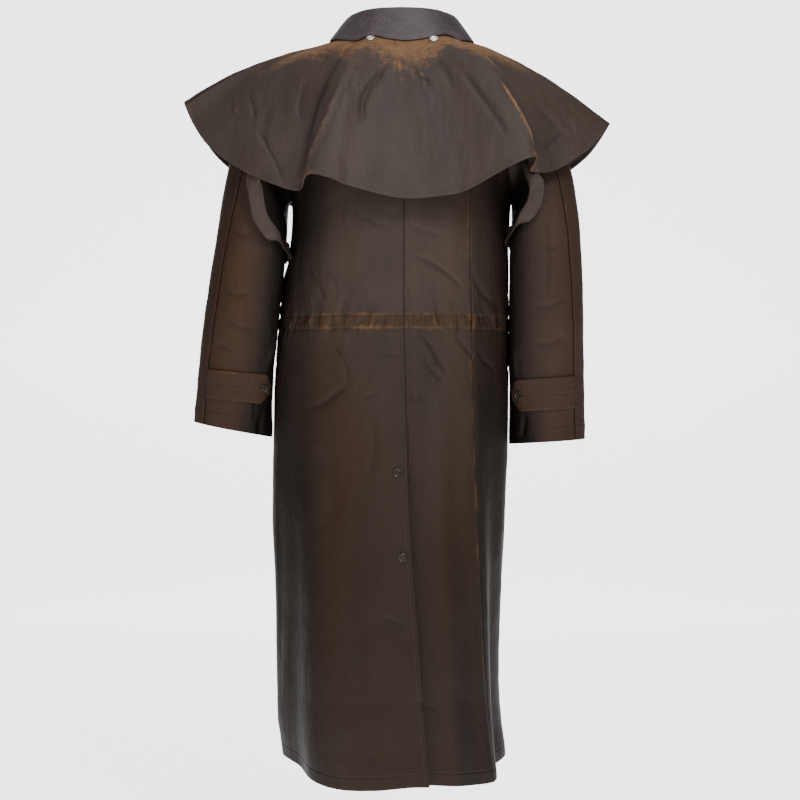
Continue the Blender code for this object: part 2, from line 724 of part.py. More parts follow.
def cape_neck_degrees():
    """Where each row of the cape leaves the neck, in step with the cloth along the hem."""
    hem = [cape_hem(i) for i in range(len(CAPE_ROWS))]
    degrees = [CAPE_NECK_DEG[0]] * len(hem)
    for first, last, low, high in zip(
            CAPE_SIDE_ROWS, CAPE_SIDE_ROWS[1:], CAPE_NECK_DEG, CAPE_NECK_DEG[1:]):
        runs = [(hem[i + 1] - hem[i]).length for i in range(first, last)]
        for i in range(len(runs)):
            degrees[first + i + 1] = mix(low, high, sum(runs[:i + 1]) / sum(runs))
    return [(value,) for value in degrees]


NECK_OF_ROW = cape_neck_degrees()


def cape_point(at, down):
    """A point of the cape: a row number round it, and 0 at the neck to 1 at the hem."""
    (deg,) = spline(NECK_OF_ROW, at)
    start = neck_point(deg, CAPE_NECK_OUT, CAPE_NECK_LIFT)
    end = cape_hem(at)
    _, reach, drop = table(CROWN_ROWS, deg)
    crown = Vector((mix(start.x, end.x, reach), mix(start.y, end.y, reach),
                    mix(start.z, end.z, drop)))
    keep = 1 - down
    return start * keep * keep + crown * 2 * keep * down + end * down * down


def cape_row(deg):
    """The row number that leaves the neck in a direction."""
    deg = (deg + 90.0) % 360.0 - 90.0
    low, high = 0.0, len(CAPE_ROWS) - 1.0
    for _ in range(40):
        middle = (low + high) / 2
        if spline(NECK_OF_ROW, middle)[0] < deg:
            low = middle
        else:
            high = middle
    return (low + high) / 2


def cape_down(at, wanted, measure):
    """How far down a row of the cape a measure, which grows downwards, reaches a value."""
    low, high = 0.0, 1.0
    for _ in range(40):
        middle = (low + high) / 2
        if measure(cape_point(at, middle)) < wanted:
            low = middle
        else:
            high = middle
    return (low + high) / 2


def build_cape():
    first_seam, last_seam = CAPE_SEAM_ROWS
    last = len(CAPE_ROWS) - 1.0
    downs = [0.0, 0.10, 0.22, 0.36, 0.52, 0.68, 0.84, 1.0]

    def places(low, high):
        inside = [i / 2 for i in range(int(last) * 2 + 1) if low + 0.2 < i / 2 < high - 0.2]
        return [low] + inside + [high]

    def gap(at, side):
        """A seam's row number, moved back by half of the seam gap at the neck and the hem."""
        run = (cape_point(at + 0.05, 0.3) - cape_point(at, 0.3)).length
        return at + side * 0.05 * SEAM_GAP / run

    cloth("cape_front_left", cape_point, places(0.0, gap(first_seam, -1)), downs, -1.0)
    cloth("cape_back", cape_point, places(gap(first_seam, 1), gap(last_seam, -1)), downs, -1.0)
    cloth("cape_front_right", cape_point, places(gap(last_seam, 1), last), downs, -1.0)


# Collar.
def collar_line(half_width, back, front, side_z, back_z, front_z, deg):
    c, s = math.cos(math.radians(deg)), math.sin(math.radians(deg))
    y = (back if s > 0 else front) * s
    z = mix(side_z, back_z if s > 0 else front_z, abs(s) ** 1.6)
    return Vector((NECK_X + half_width * c, y, z))


def collar_top(deg):
    return collar_line(COLLAR_TOP_HALF_WIDTH, COLLAR_TOP_BACK, COLLAR_TOP_FRONT,
                       COLLAR_TOP_BACK_Z, COLLAR_TOP_BACK_Z, COLLAR_TOP_FRONT_Z, deg)


def collar_edge(deg):
    """The fall's lower edge, which lies on the cape."""
    at = cape_row(deg)
    c, s = math.cos(math.radians(deg)), math.sin(math.radians(deg))
    reach = COLLAR_EDGE_BACK if s > 0 else COLLAR_EDGE_FRONT
    wanted = 1.0 / math.hypot(c / COLLAR_EDGE_HALF_WIDTH, s / reach)
    down = cape_down(at, wanted, lambda p: math.hypot(p.x - NECK_X, p.y))
    return cape_point(at, down) + normal_of(cape_point, at, down, -1.0) * COLLAR_EDGE_LIFT


def fall_point(deg, down):
    """The collar's fall: it rolls over the top line and spreads to its edge."""
    top, edge = collar_top(deg), collar_edge(deg)
    out = Vector((edge.x - top.x, edge.y - top.y, 0.0))
    lift = Vector((0.0, 0.0, 0.003))
    first = top + out.normalized() * 0.006 + lift
    middle = top.lerp(edge, 0.45) + lift
    keep = 1 - down
    return (top * keep ** 3 + first * 3 * keep * keep * down
            + middle * 3 * keep * down * down + edge * down ** 3)


def stand_point(deg, down):
    """The collar's stand, from just under the fall's top line to the neckline."""
    top = collar_top(deg)
    inward = Vector((NECK_X - top.x, -top.y, 0.0)).normalized()
    start = top + inward * 0.0040 + Vector((0.0, 0.0, -0.0035))
    low = math.floor(deg / NECK_STEP_DEG) * NECK_STEP_DEG
    edge = neck_point(low).lerp(neck_point(low + NECK_STEP_DEG), (deg - low) / NECK_STEP_DEG)
    end = edge + Vector((0.0, 0.0, STAND_LIFT))
    return start.lerp(end, down)


def build_collar():
    open_low, open_high = -90.0 + COLLAR_OPEN_DEG, 270.0 - COLLAR_OPEN_DEG
    inside = [i * 7.5 for i in range(-11, 36) if open_low + 2.0 < i * 7.5 < open_high - 2.0]
    round_it = [open_low] + inside + [open_high]
    cloth("collar_fall", fall_point, round_it, [0.0, 0.15, 0.38, 0.66, 1.0], -1.0,
          LEATHER, "collar")
    cloth("collar_stand", stand_point, round_it, [0.0, 0.5, 1.0], -1.0)


# Straps.
def strap_on_cape(at, down, under):
    """The strap's middle and the way its width lies at a place inside the cape."""
    point = cape_point(at, down) - normal_of(cape_point, at, down, -1.0) * (CLOTH + under)
    return point, (cape_point(at + 0.1, down) - cape_point(at - 0.1, down)).normalized()


def build_strap(side, word, free_rows):
    """A flat loop of cloth that hangs from the cape and passes under the arm."""
    back_row, front_row = STRAP_ROWS_ON_CAPE[word]
    rows = []
    for at in (back_row, front_row):
        ends = []
        for down, under in ((STRAP_CAPE_DOWN, CLOTH / 2 + SEAM_GAP * 3), (1.0, CLOTH * 2.5)):
            point, across = strap_on_cape(at, down, under)
            across = across if across.x > 0 else -across
            ends.append((*point, *across))
        rows.append(ends)
    free = [(side * x, y, z, a, b, side * c) for x, y, z, a, b, c in free_rows]
    line = rows[0] + free + rows[1][::-1]
    outer, inner = [], []
    for at in steps(0.0, len(line) - 1.0, STRAP_STEPS):
        values = spline(line, at)
        before, after = spline(line, at - 0.05), spline(line, at + 0.05)
        along = Vector([b - a for a, b in zip(before[:3], after[:3])]).normalized()
        across = Vector(values[3:])
        across = (across - along * across.dot(along)).normalized()
        face = across.cross(along).normalized() * CLOTH / 2
        edges = [Vector(values[:3]) + across * STRAP_WIDTH * share for share in (-0.5, 0.5)]
        outer.append([point + face for point in edges])
        inner.append([point - face for point in edges])
    wall(f"cape_strap_{word}", outer, inner, "oilskin")


# Snaps.
def snap(name, surface, u, v, outward, lift):
    """A turned cap that stands on a surface, lift above it."""
    point, normal = surface(u, v), normal_of(surface, u, v, outward)
    mesh = bpy.data.meshes.new(name)
    profile = [(share * SNAP_RADIUS, 0.0, height) for share, height in SNAP_PROFILE]
    mesh.from_pydata(profile, [(i, i + 1) for i in range(len(profile) - 1)], [])
    thing = in_collection(bpy.data.objects.new(name, mesh))
    turn = thing.modifiers.new("turn", "SCREW")
    turn.steps = turn.render_steps = SNAP_STEPS
    turn.use_merge_vertices = True
    turn.merge_threshold = 0.00005
    mesh.materials.append(material("metal"))
    thing.location = point + normal * lift
    thing.rotation_mode = "QUATERNION"
    thing.rotation_quaternion = normal.to_track_quat("Z", "Y")
    return thing


def build_snaps(sleeves):
    for i, z in enumerate(VENT_SNAP_Z):
        down = down_at(z)
        deg = seam_deg("centre", down)
        deg -= degrees_for(VENT_SNAP_IN, deg, down)
        snap(f"vent_snap_{i + 1}", body_point, deg, down, -1.0, SEAM_GAP)
    downs = [FIRST_SNAP_DOWN] + [down_at(z) for z in FRONT_SNAP_Z]
    for i, down in enumerate(downs):
        snap(f"front_snap_{i + 1}", body_point, -90.0, down, -1.0, SEAM_GAP)
    for word, x, z in CAPE_SNAPS:
        at = cape_row(math.degrees(math.atan2(0.10, x - NECK_X)))
        for _ in range(8):
            down = cape_down(at, -z, lambda p: -p.z)
            at += (cape_point(at, down).x - x) / 0.02 * 0.5
        snap(f"cape_snap_{word}", cape_point, at, down, -1.0, SEAM_GAP)
    for word, (side, tube) in sleeves.items():
        middle = 1.0 + sum(TAB_RING) / 2
        deg = TAB_TIP_DEG - TAB_POINT_DEG * 0.9
        snap(f"cuff_snap_{word}", tube, deg, middle, -side, TAB_LIFT + CLOTH + SEAM_GAP * 2)


def main():
    for thing in list(bpy.data.objects):
        bpy.data.objects.remove(thing)
    build_body()
    sleeves = {
        "left": (1.0, build_sleeve(1.0, "left")),
        "right": (-1.0, build_sleeve(-1.0, "right")),
    }
    build_cape()
    build_collar()
    build_strap(1.0, "left", LEFT_STRAP)
    build_strap(-1.0, "right", RIGHT_STRAP)
    build_snaps(sleeves)


main()
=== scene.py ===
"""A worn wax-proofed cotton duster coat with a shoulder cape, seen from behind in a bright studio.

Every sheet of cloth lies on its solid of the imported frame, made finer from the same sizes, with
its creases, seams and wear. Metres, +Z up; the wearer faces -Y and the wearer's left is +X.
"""

import logging
import math
from dataclasses import dataclass, field
from enum import Enum
from typing import Callable, ClassVar

import bpy
import numpy as np
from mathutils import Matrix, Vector, noise


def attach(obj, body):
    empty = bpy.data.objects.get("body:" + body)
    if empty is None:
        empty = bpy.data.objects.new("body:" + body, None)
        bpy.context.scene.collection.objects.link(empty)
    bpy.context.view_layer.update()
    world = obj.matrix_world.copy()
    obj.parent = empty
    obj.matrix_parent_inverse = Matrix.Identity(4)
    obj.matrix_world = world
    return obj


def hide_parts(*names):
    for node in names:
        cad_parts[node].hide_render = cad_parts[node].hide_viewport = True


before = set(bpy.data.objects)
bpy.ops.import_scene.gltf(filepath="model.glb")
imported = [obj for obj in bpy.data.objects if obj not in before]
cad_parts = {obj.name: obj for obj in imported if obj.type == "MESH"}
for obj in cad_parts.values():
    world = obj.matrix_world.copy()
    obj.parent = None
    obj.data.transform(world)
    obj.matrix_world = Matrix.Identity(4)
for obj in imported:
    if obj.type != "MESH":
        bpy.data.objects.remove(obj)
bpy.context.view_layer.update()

LOG = logging.getLogger("duster_coat")
MM = 0.001

Rows = tuple[tuple[float, ...], ...]
Colour = tuple[float, float, float]
Surface = Callable[[float, float], Vector]
Array = np.ndarray


def smooth(value: float, low: float = 0.0, high: float = 1.0) -> float:
    """0 below low, 1 above high, and an even S between them."""
    share = min(1.0, max(0.0, (value - low) / (high - low)))
    return share * share * (3 - 2 * share)


def smooth_all(values: Array, low: float, high: float) -> Array:
    """smooth() for a whole array."""
    share = np.clip((values - low) / (high - low), 0.0, 1.0)
    return share * share * (3 - 2 * share)


def mix(a: float, b: float, share: float) -> float:
    """The number a share of the way from a to b."""
    return a + (b - a) * share


def steps(low: float, high: float, count: int) -> list[float]:
    """count + 1 even steps from low to high."""
    return [mix(low, high, i / count) for i in range(count + 1)]


def averaged(grid: Array, reach: int) -> Array:
    """A grid averaged over a square of 2 * reach + 1 cells.

    Args:
        grid: numbers at even places.
        reach: cells on each side.

    Returns:
        The averaged grid.
    """
    size = 2 * reach + 1
    for _ in range(2):
        padded = np.pad(grid, ((reach + 1, reach), (0, 0)), mode="edge")
        sums = np.cumsum(padded, axis=0)
        grid = ((sums[size:] - sums[:-size]) / size).T
    return grid


def spline(rows: Rows, at: float) -> list[float]:
    """A row read from a table at a whole or part row number, on a smooth curve.

    Args:
        rows: the table.
        at: row number, whole or in part.

    Returns:
        The row's values.
    """
    last = len(rows) - 1
    at = min(max(at, 0.0), float(last))
    i = min(int(at), last - 1)
    t = at - i
    near = [rows[min(max(k, 0), last)] for k in (i - 1, i, i + 1, i + 2)]
    return [
        0.5 * (2 * b + (c - a) * t + (2 * a - 5 * b + 4 * c - d) * t * t
               + (3 * b - a - 3 * c + d) * t ** 3)
        for a, b, c, d in zip(*near)
    ]


def table(rows: Rows, value: float) -> list[float]:
    """A row read from a table where its first column has a value.

    Args:
        rows: the table.
        value: what the first column is to be.

    Returns:
        The row's values.
    """
    falling = rows[0][0] > rows[-1][0]
    for i in range(len(rows) - 1):
        a, b = rows[i][0], rows[i + 1][0]
        if (a >= value >= b) if falling else (a <= value <= b):
            return spline(rows, i + (value - a) / (b - a))
    before = value > rows[0][0] if falling else value < rows[0][0]
    return spline(rows, 0.0 if before else float(len(rows) - 1))


class Value:
    """A number in a shader, whose arithmetic adds Math nodes."""

    def __init__(self, graph: "Graph", socket: bpy.types.NodeSocket) -> None:
        """Wraps a socket of a graph's node."""
        self.graph = graph
        self.socket = socket

    def __add__(self, other: "Value | float") -> "Value":
        """self + other."""
        return self.graph.maths("ADD", self, other)

    __radd__ = __add__

    def __sub__(self, other: "Value | float") -> "Value":
        """self - other."""
        return self.graph.maths("SUBTRACT", self, other)

    def __rsub__(self, other: "Value | float") -> "Value":
        """other - self."""
        return self.graph.maths("SUBTRACT", other, self)

    def __mul__(self, other: "Value | float") -> "Value":
        """self * other."""
        return self.graph.maths("MULTIPLY", self, other)

    __rmul__ = __mul__

    def __abs__(self) -> "Value":
        """The size without its sign."""
        return self.graph.maths("ABSOLUTE", self)

    def sine(self) -> "Value":
        """The sine of the value in radians."""
        return self.graph.maths("SINE", self)

    def largest(self, other: "Value | float") -> "Value":
        """The larger of two values."""
        return self.graph.maths("MAXIMUM", self, other)

    def over(self, low: float, high: float) -> "Value":
        """0 below low and 1 above high, on a soft S. Turned round where low is above high.

        Args:
            low: where the S starts.
            high: where it ends.

        Returns:
            The stepped value.
        """
        settings = {"interpolation_type": "SMOOTHSTEP"}
        if low > high:
            inputs = {"Value": self, "From Min": high, "From Max": low, "To Min": 1.0, "To Max": 0.0}
        else:
            inputs = {"Value": self, "From Min": low, "From Max": high}
        return Value(self.graph, self.graph.node("ShaderNodeMapRange", settings, inputs).outputs[0])


class Graph:
    """A material's nodes, with its Principled shader."""

    def __init__(self, name: str) -> None:
        """Starts a new material of that name."""
        self.material = bpy.data.materials.new(name)
        self.material.use_nodes = True
        self.tree = self.material.node_tree
        self.shader = self.tree.nodes["Principled BSDF"]

    def node(self, kind: str, settings: dict | None = None, inputs: dict | None = None) -> bpy.types.Node:
        """Adds a node.

        Args:
            kind: the node's type.
            settings: its own settings, set first.
            inputs: the values or links of its sockets, by name or number.

        Returns:
            The new node.
        """
        made = self.tree.nodes.new(kind)
        for key, value in (settings or {}).items():
            setattr(made, key, value)
        for key, value in (inputs or {}).items():
            self.feed(made.inputs[key], value)
        return made

    def feed(self, socket: bpy.types.NodeSocket, value: object) -> None:
        """Links a value or a socket to a socket, or sets a plain value on it.

        Args:
            socket: the socket to fill.
            value: a Value, a socket or a plain value.
        """
        if isinstance(value, Value):
            self.tree.links.new(value.socket, socket)
        elif isinstance(value, bpy.types.NodeSocket):
            self.tree.links.new(value, socket)
        else:
            socket.default_value = (*value, 1.0) if isinstance(value, tuple) and len(value) == 3 and (
                socket.type == "RGBA") else value

    def maths(self, operation: str, *numbers: "Value | float") -> Value:
        """A Math node's result."""
        inputs = dict(enumerate(numbers))
        return Value(self, self.node("ShaderNodeMath", {"operation": operation}, inputs).outputs[0])

    def attribute(self, name: str) -> Value:
        """A number that the mesh holds at its points."""
        settings = {"attribute_name": name, "attribute_type": "GEOMETRY"}
        return Value(self, self.node("ShaderNodeAttribute", settings).outputs["Fac"])

    def place(self, stretch: Colour = (1.0, 1.0, 1.0)) -> bpy.types.NodeSocket:
        """The object's own coordinates, each multiplied by a factor.

        Args:
            stretch: the factors.

        Returns:
            The coordinates.
        """
        plain = self.node("ShaderNodeTexCoord").outputs["Object"]
        inputs = {0: plain, 1: Vector(stretch)}
        return self.node("ShaderNodeVectorMath", {"operation": "MULTIPLY"}, inputs).outputs[0]

    def noise(self, place: bpy.types.NodeSocket, scale: float, detail: float = 2.0,
              rough: float = 0.5) -> Value:
        """Even noise from 0 to 1."""
        inputs = {"Vector": place, "Scale": scale, "Detail": detail, "Roughness": rough}
        return Value(self, self.node("ShaderNodeTexNoise", {}, inputs).outputs[0])

    def blend(self, factor: Value, first: object, second: object) -> bpy.types.NodeSocket:
        """A colour that goes from the first to the second.

        Args:
            factor: 0 for the first, 1 for the second.
            first: a colour.
            second: a colour.

        Returns:
            The colour.
        """
        inputs = {"Factor": factor, "A": first, "B": second}
        made = self.tree.nodes.new("ShaderNodeMix")
        made.data_type = "RGBA"
        for name, value in inputs.items():
            socket = next(s for s in made.inputs if s.name == name and s.enabled)
            self.feed(socket, value)
        return next(s for s in made.outputs if s.enabled)

    def dress(self, constants: dict, varying: dict, height: Value | None = None) -> bpy.types.Material:
        """Fills the shader's sockets.

        Args:
            constants: plain values by socket name.
            varying: links by socket name.
            height: the relief in metres, for a Bump node.

        Returns:
            The finished material.
        """
        for key, value in {**constants, **varying}.items():
            self.feed(self.shader.inputs[key], value)
        if height is not None:
            bump = self.node("ShaderNodeBump", {}, {"Strength": 1.0, "Distance": 1.0, "Height": height})
            self.feed(self.shader.inputs["Normal"], bump.outputs[0])
        return self.material


class Edge(Enum):
    """An edge of a sheet: its first and last columns, and its top and bottom rows."""

    FIRST = "from_first"
    LAST = "from_last"
    TOP = "from_top"
    HEM = "from_hem"

    @property
    def along(self) -> "Edge":
        """The measure that runs along this edge."""
        return Edge.TOP if self in (Edge.FIRST, Edge.LAST) else Edge.FIRST


class Face(Enum):
    """The side from which a crease's places are read, as (across axis, facing axis, sign)."""

    BACK = (0, 1, 1.0)
    FRONT = (0, 1, -1.0)
    LEFT = (1, 0, 1.0)
    RIGHT = (1, 0, -1.0)


@dataclass(frozen=True)
class Crease:
    """A soft trough or ridge that is placed on one face of the coat.

    points are (across, z) in metres, width and height in millimetres. lean raises one lip of the
    crease and lowers the other, and wear is how much wax it has lost along its line.
    """

    face: Face
    points: Rows
    width: float
    height: float
    lean: float = 0.0
    wear: float = 0.0

    def apply(self, places: Array, normals: Array) -> tuple[Array, Array]:
        """How high the crease lifts each place, in metres, and how worn it is there.

        Args:
            places: points of the cloth, n by 3.
            normals: their outward directions.

        Returns:
            Heights and wear, n each.
        """
        across, facing, sign = self.face.value
        heights, wears = np.zeros(len(places)), np.zeros(len(places))
        line = np.array([spline(self.points, at) for at in steps(0.0, len(self.points) - 1.0, 14)])
        reach = 3.2 * self.width * MM
        flat = places[:, (across, 2)]
        near = np.where(
            (flat[:, 0] > line[:, 0].min() - reach) & (flat[:, 0] < line[:, 0].max() + reach)
            & (flat[:, 1] > line[:, 1].min() - reach) & (flat[:, 1] < line[:, 1].max() + reach)
            & (places[:, facing] * sign > 0.0))[0]
        if len(near) == 0:
            return heights, wears
        flat = flat[near]
        best, offset, share = np.full(len(flat), 9.0), np.zeros(len(flat)), np.zeros(len(flat))
        for i in range(len(line) - 1):
            run = line[i + 1] - line[i]
            length = max(float(np.hypot(*run)), 1e-6)
            away = flat - line[i]
            t = np.clip(away @ run / length ** 2, 0.0, 1.0)
            gap = away - t[:, None] * run
            distance = np.hypot(gap[:, 0], gap[:, 1])
            closer = distance < best
            best = np.where(closer, distance, best)
            signed = (run[0] * away[:, 1] - run[1] * away[:, 0]) / length
            offset = np.where(closer, signed, offset)
            share = np.where(closer, (i + t) / (len(line) - 1), share)
        fade = smooth_all(share, -0.02, 0.30) * smooth_all(1.0 - share, -0.02, 0.30)
        facing_it = smooth_all(normals[near, facing] * sign, 0.05, 0.45)
        scaled = best / (self.width * MM)
        bell = np.exp(-scaled ** 2) * fade * facing_it
        side = np.clip(offset / (self.width * MM), -3.0, 3.0)
        heights[near] = (self.height + self.lean * 1.6 * side) * MM * bell
        wears[near] = self.wear * np.exp(-(scaled * 1.5) ** 2) * fade * facing_it
        return heights, wears


@dataclass(frozen=True)
class Ripple:
    """Even noise in the cloth: its size in metres, how it is stretched, and its height in mm."""

    size: float
    height: float
    stretch: Colour = (1.0, 1.0, 1.0)
    shift: float = 0.0

    def apply(self, places: Array) -> Array:
        """The noise's height at each place, in metres."""
        scaled = places / self.size / np.array(self.stretch) + self.shift
        return np.array([noise.noise(Vector(p)) for p in scaled]) * self.height * MM


@dataclass
class Relief:
    """Everything that raises or sinks a sheet from its smooth form."""

    creases: list[Crease] = field(default_factory=list)
    ripples: list[Ripple] = field(default_factory=list)
    damp: Callable[[Array], Array] | None = None
    strength: float = 1.15

    def apply(self, places: Array, normals: Array) -> tuple[Array, Array]:
        """Heights and wear.

        Args:
            places: points of the cloth, n by 3.
            normals: their outward directions.

        Returns:
            Heights and wear.
        """
        heights, wears = np.zeros(len(places)), np.zeros(len(places))
        for ripple in self.ripples:
            heights += ripple.apply(places)
        for crease in self.creases:
            more, worn = crease.apply(places, normals)
            heights += more * self.strength
            wears = np.maximum(wears, worn)
        if self.damp is not None:
            heights *= self.damp(places)
        return heights, wears


@dataclass(frozen=True)
class Seam:
    """How an edge is sewn: a felled band of doubled cloth, a ditch at the seam and worn thread.

    All sizes are millimetres. fade is where along the edge the wear ends.
    """

    edge: Edge
    band: float = 0.0
    raised: float = 0.0
    ditch: float = 0.0
    wear: float = 0.5
    wear_width: float = 4.5
    fade: tuple[float, float] = (9000.0, 9001.0)

    def worn(self, away: dict[Edge, Array], patchy: Array) -> Array:
        """How worn the cloth is beside the edge.

        Args:
            away: distances from each edge.
            patchy: uneven factor at each place.

        Returns:
            0 and up at each place.
        """
        gap, along = away[self.edge].ravel() / MM, away[self.edge.along].ravel() / MM
        near = np.exp(-((gap - 2.0) / self.wear_width) ** 2) * (1 - smooth_all(along, *self.fade))
        return self.wear * near * patchy


@dataclass
class Sheet:
    """One cut piece of cloth or leather, laid on its solid's surface.

    surface(u, v) is the outer side of the solid. columns and rows are the sizes of the mesh's
    steps in metres. held and rests_on are kept but not used.
    """

    node: str
    surface: Surface
    u_span: tuple[float, float]
    v_knots: list[float]
    outward: float
    thickness: float
    finish: bpy.types.Material
    slot: str = "oilskin"
    spacing: float = 0.003
    lift: float = 0.0
    relief: Relief = field(default_factory=Relief)
    seams: tuple[Seam, ...] = ()
    held: str = "hung"
    rests_on: tuple[str, ...] = ()
    wear_at: Callable[[Array, Array], Array] | None = None
    height_at: Callable[[dict[Edge, Array], Array], Array] | None = None
    # Painted shade: gives a mask from the normals that darkens the colour.
    waxed_at: Callable[[Array], Array] | None = None
    suffix: str = "cloth"
    crest_reach: ClassVar[float] = 0.013

    def even_places(self, low: float, high: float, line: Callable[[float], Vector],
                    spacing: float) -> list[float]:
        """Places along a line, evenly spaced in metres and an even number of steps.

        Args:
            low: the line's start.
            high: the line's end.
            line: gives a point for a number.
            spacing: the wanted step in metres.

        Returns:
            The numbers of the places.
        """
        rough = steps(low, high, 96)
        points = [line(at) for at in rough]
        runs = np.concatenate([[0.0], np.cumsum([(b - a).length for a, b in zip(points, points[1:])])])
        count = max(4, 2 * math.ceil(runs[-1] / spacing / 2))
        return [float(x) for x in np.interp(np.linspace(0.0, runs[-1], count + 1), runs, rough)]

    def grid(self) -> tuple[Array, Array, tuple[int, int]]:
        """The smooth surface's points and outward directions, row by row.

        Returns:
            Points, outward directions, and the numbers of rows and columns.
        """
        low, high = self.u_span
        v_low, v_high = self.v_knots[0], self.v_knots[-1]
        middle = (low + high) / 2
        wide_v = max(self.v_knots, key=lambda v: (self.surface(low, v) - self.surface(middle, v)).length)
        columns = self.even_places(low, high, lambda u: self.surface(u, wide_v), self.spacing)
        rows = self.even_places(v_low, v_high, lambda v: self.surface(middle, v), self.spacing)
        nudge_u, nudge_v = (high - low) * 1e-3, (v_high - v_low) * 1e-3
        around = [low - nudge_u] + columns + [high + nudge_u]
        downs = [v_low - nudge_v] + rows + [v_high + nudge_v]
        points = np.array([[self.surface(u, v) for u in around] for v in downs], float)
        along = points[1:-1, 2:] - points[1:-1, :-2]
        down = points[2:, 1:-1] - points[:-2, 1:-1]
        normals = np.cross(along, down) * self.outward
        normals /= np.maximum(np.linalg.norm(normals, axis=2, keepdims=True), 1e-12)
        inner = points[1:-1, 1:-1]
        return inner, normals, (len(rows), len(columns))

    def distances(self, points: Array) -> dict[Edge, Array]:
        """How far each point lies from each edge, along the cloth.

        Args:
            points: the surface's points, as a grid.

        Returns:
            A grid of metres for each edge.
        """
        across = np.linalg.norm(np.diff(points, axis=1), axis=2)
        down = np.linalg.norm(np.diff(points, axis=0), axis=2)
        first = np.concatenate([np.zeros((len(points), 1)), np.cumsum(across, axis=1)], axis=1)
        top = np.concatenate([np.zeros((1, points.shape[1])), np.cumsum(down, axis=0)], axis=0)
        return {Edge.FIRST: first, Edge.LAST: first[:, -1:] - first,
                Edge.TOP: top, Edge.HEM: top[-1:] - top}

    def shape(self) -> tuple[Array, Array, dict[Edge, Array], dict[str, Array]]:
        """Raised points, normals, distances and the shader's other measures, all as grids.

        Returns:
            Points, outward directions, distances and looks.
        """
        points, normals, (rows, columns) = self.grid()
        flat, flat_normals = points.reshape(-1, 3), normals.reshape(-1, 3)
        if self.lift:
            flat = flat + flat_normals * (self.lift + self.thickness)
        away = self.distances(points)
        heights, wear = self.relief.apply(flat, flat_normals)
        patchy = np.clip(0.62 + Ripple(0.045, 700.0, shift=2.0).apply(flat)
                         + Ripple(0.012, 500.0, shift=5.0).apply(flat), 0.0, 1.15)
        for seam in self.seams:
            gap = away[seam.edge].ravel() / MM
            if seam.band:
                heights += seam.raised * MM * (1 - smooth_all(gap, seam.band - 1.5, seam.band + 1.5))
            heights -= seam.ditch * MM * np.exp(-(gap / 2.5) ** 2)
            wear = np.maximum(wear, seam.worn(away, patchy))
        if self.height_at is not None:
            heights += self.height_at({k: v.ravel() for k, v in away.items()}, flat)
        if self.wear_at is not None:
            wear = np.maximum(wear, self.wear_at(flat, flat_normals))
        raised = flat + flat_normals * heights[:, None]
        heights = heights.reshape(rows, columns)
        # crest drives the painted shade in the troughs and the wear on the ridges.
        crest = (heights - averaged(heights, round(self.crest_reach / self.spacing))) / MM
        # Painted shade mask, read by the shader to darken the colour.
        waxed = self.waxed_at(flat_normals) if self.waxed_at else np.zeros(len(flat))
        looks = {"wear": wear.reshape(rows, columns), "crest": crest, "waxed": waxed.reshape(rows, columns)}
        return raised.reshape(rows, columns, 3), normals, away, looks

    def build(self) -> bpy.types.Object:
        """Makes the sheet, dresses it and gives it to the frame.

        Returns:
            The object.
        """
        outer, normals, away, looks = self.shape()
        rows, columns = outer.shape[:2]
        coarse = (outer - normals * self.thickness)[::2, ::2]
        half_rows, half_columns = coarse.shape[:2]
        base = rows * columns
        outer_at = np.arange(base).reshape(rows, columns)
        inner_at = base + np.arange(half_rows * half_columns).reshape(half_rows, half_columns)
        flip = self.outward > 0
        faces = self.quads(outer_at, flip) + self.quads(inner_at, not flip)
        faces += self.rim(outer_at, inner_at, flip)
        points = np.concatenate([outer.reshape(-1, 3), coarse.reshape(-1, 3)])
        name = f"{self.node}_{self.suffix}"
        mesh = bpy.data.meshes.new(name)
        mesh.from_pydata(points.tolist(), [], faces)
        layers = {edge.value: grid for edge, grid in away.items()} | looks
        for label, grid in layers.items():
            attribute = mesh.attributes.new(label, "FLOAT", "POINT")
            values = np.concatenate([grid.ravel(), grid[::2, ::2].ravel()])
            attribute.data.foreach_set("value", values.astype(np.float32))
        inside = np.concatenate([np.zeros(base), np.ones(half_rows * half_columns)])
        mesh.attributes.new("inside", "FLOAT", "POINT").data.foreach_set(
            "value", inside.astype(np.float32))
        mesh.shade_smooth()
        mesh.set_sharp_from_angle(angle=math.radians(62))
        mesh.materials.append(self.finish)
        thing = bpy.data.objects.new(name, mesh)
        bpy.context.scene.collection.objects.link(thing)
        self.hand_over(thing, away)
        LOG.info("%s: %d by %d points", name, rows, columns)
        return thing

    def hand_over(self, thing: bpy.types.Object, away: dict[Edge, Array]) -> None:
        """Parents the sheet to the frame's root and hides the solid that it replaces.

        Args:
            thing: the finished object.
            away: distances from each edge.
        """
        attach(thing, "root")
        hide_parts(self.node)
        across, down = away[Edge.FIRST], away[Edge.TOP]
        cells = (np.diff(across, axis=1)[:-1] * np.diff(down, axis=0)[:, :-1]).sum()
        list(self.rests_on)

    def quads(self, at: Array, flip: bool) -> list[tuple[int, ...]]:
        """The faces of one skin.

        Args:
            at: the skin's indices.
            flip: whether the faces are turned round.

        Returns:
            Faces, as indices.
        """
        a, b, c, d = at[:-1, :-1].ravel(), at[1:, :-1].ravel(), at[1:, 1:].ravel(), at[:-1, 1:].ravel()
        loops = (a, d, c, b) if flip else (a, b, c, d)
        return list(zip(*[loop.tolist() for loop in loops]))

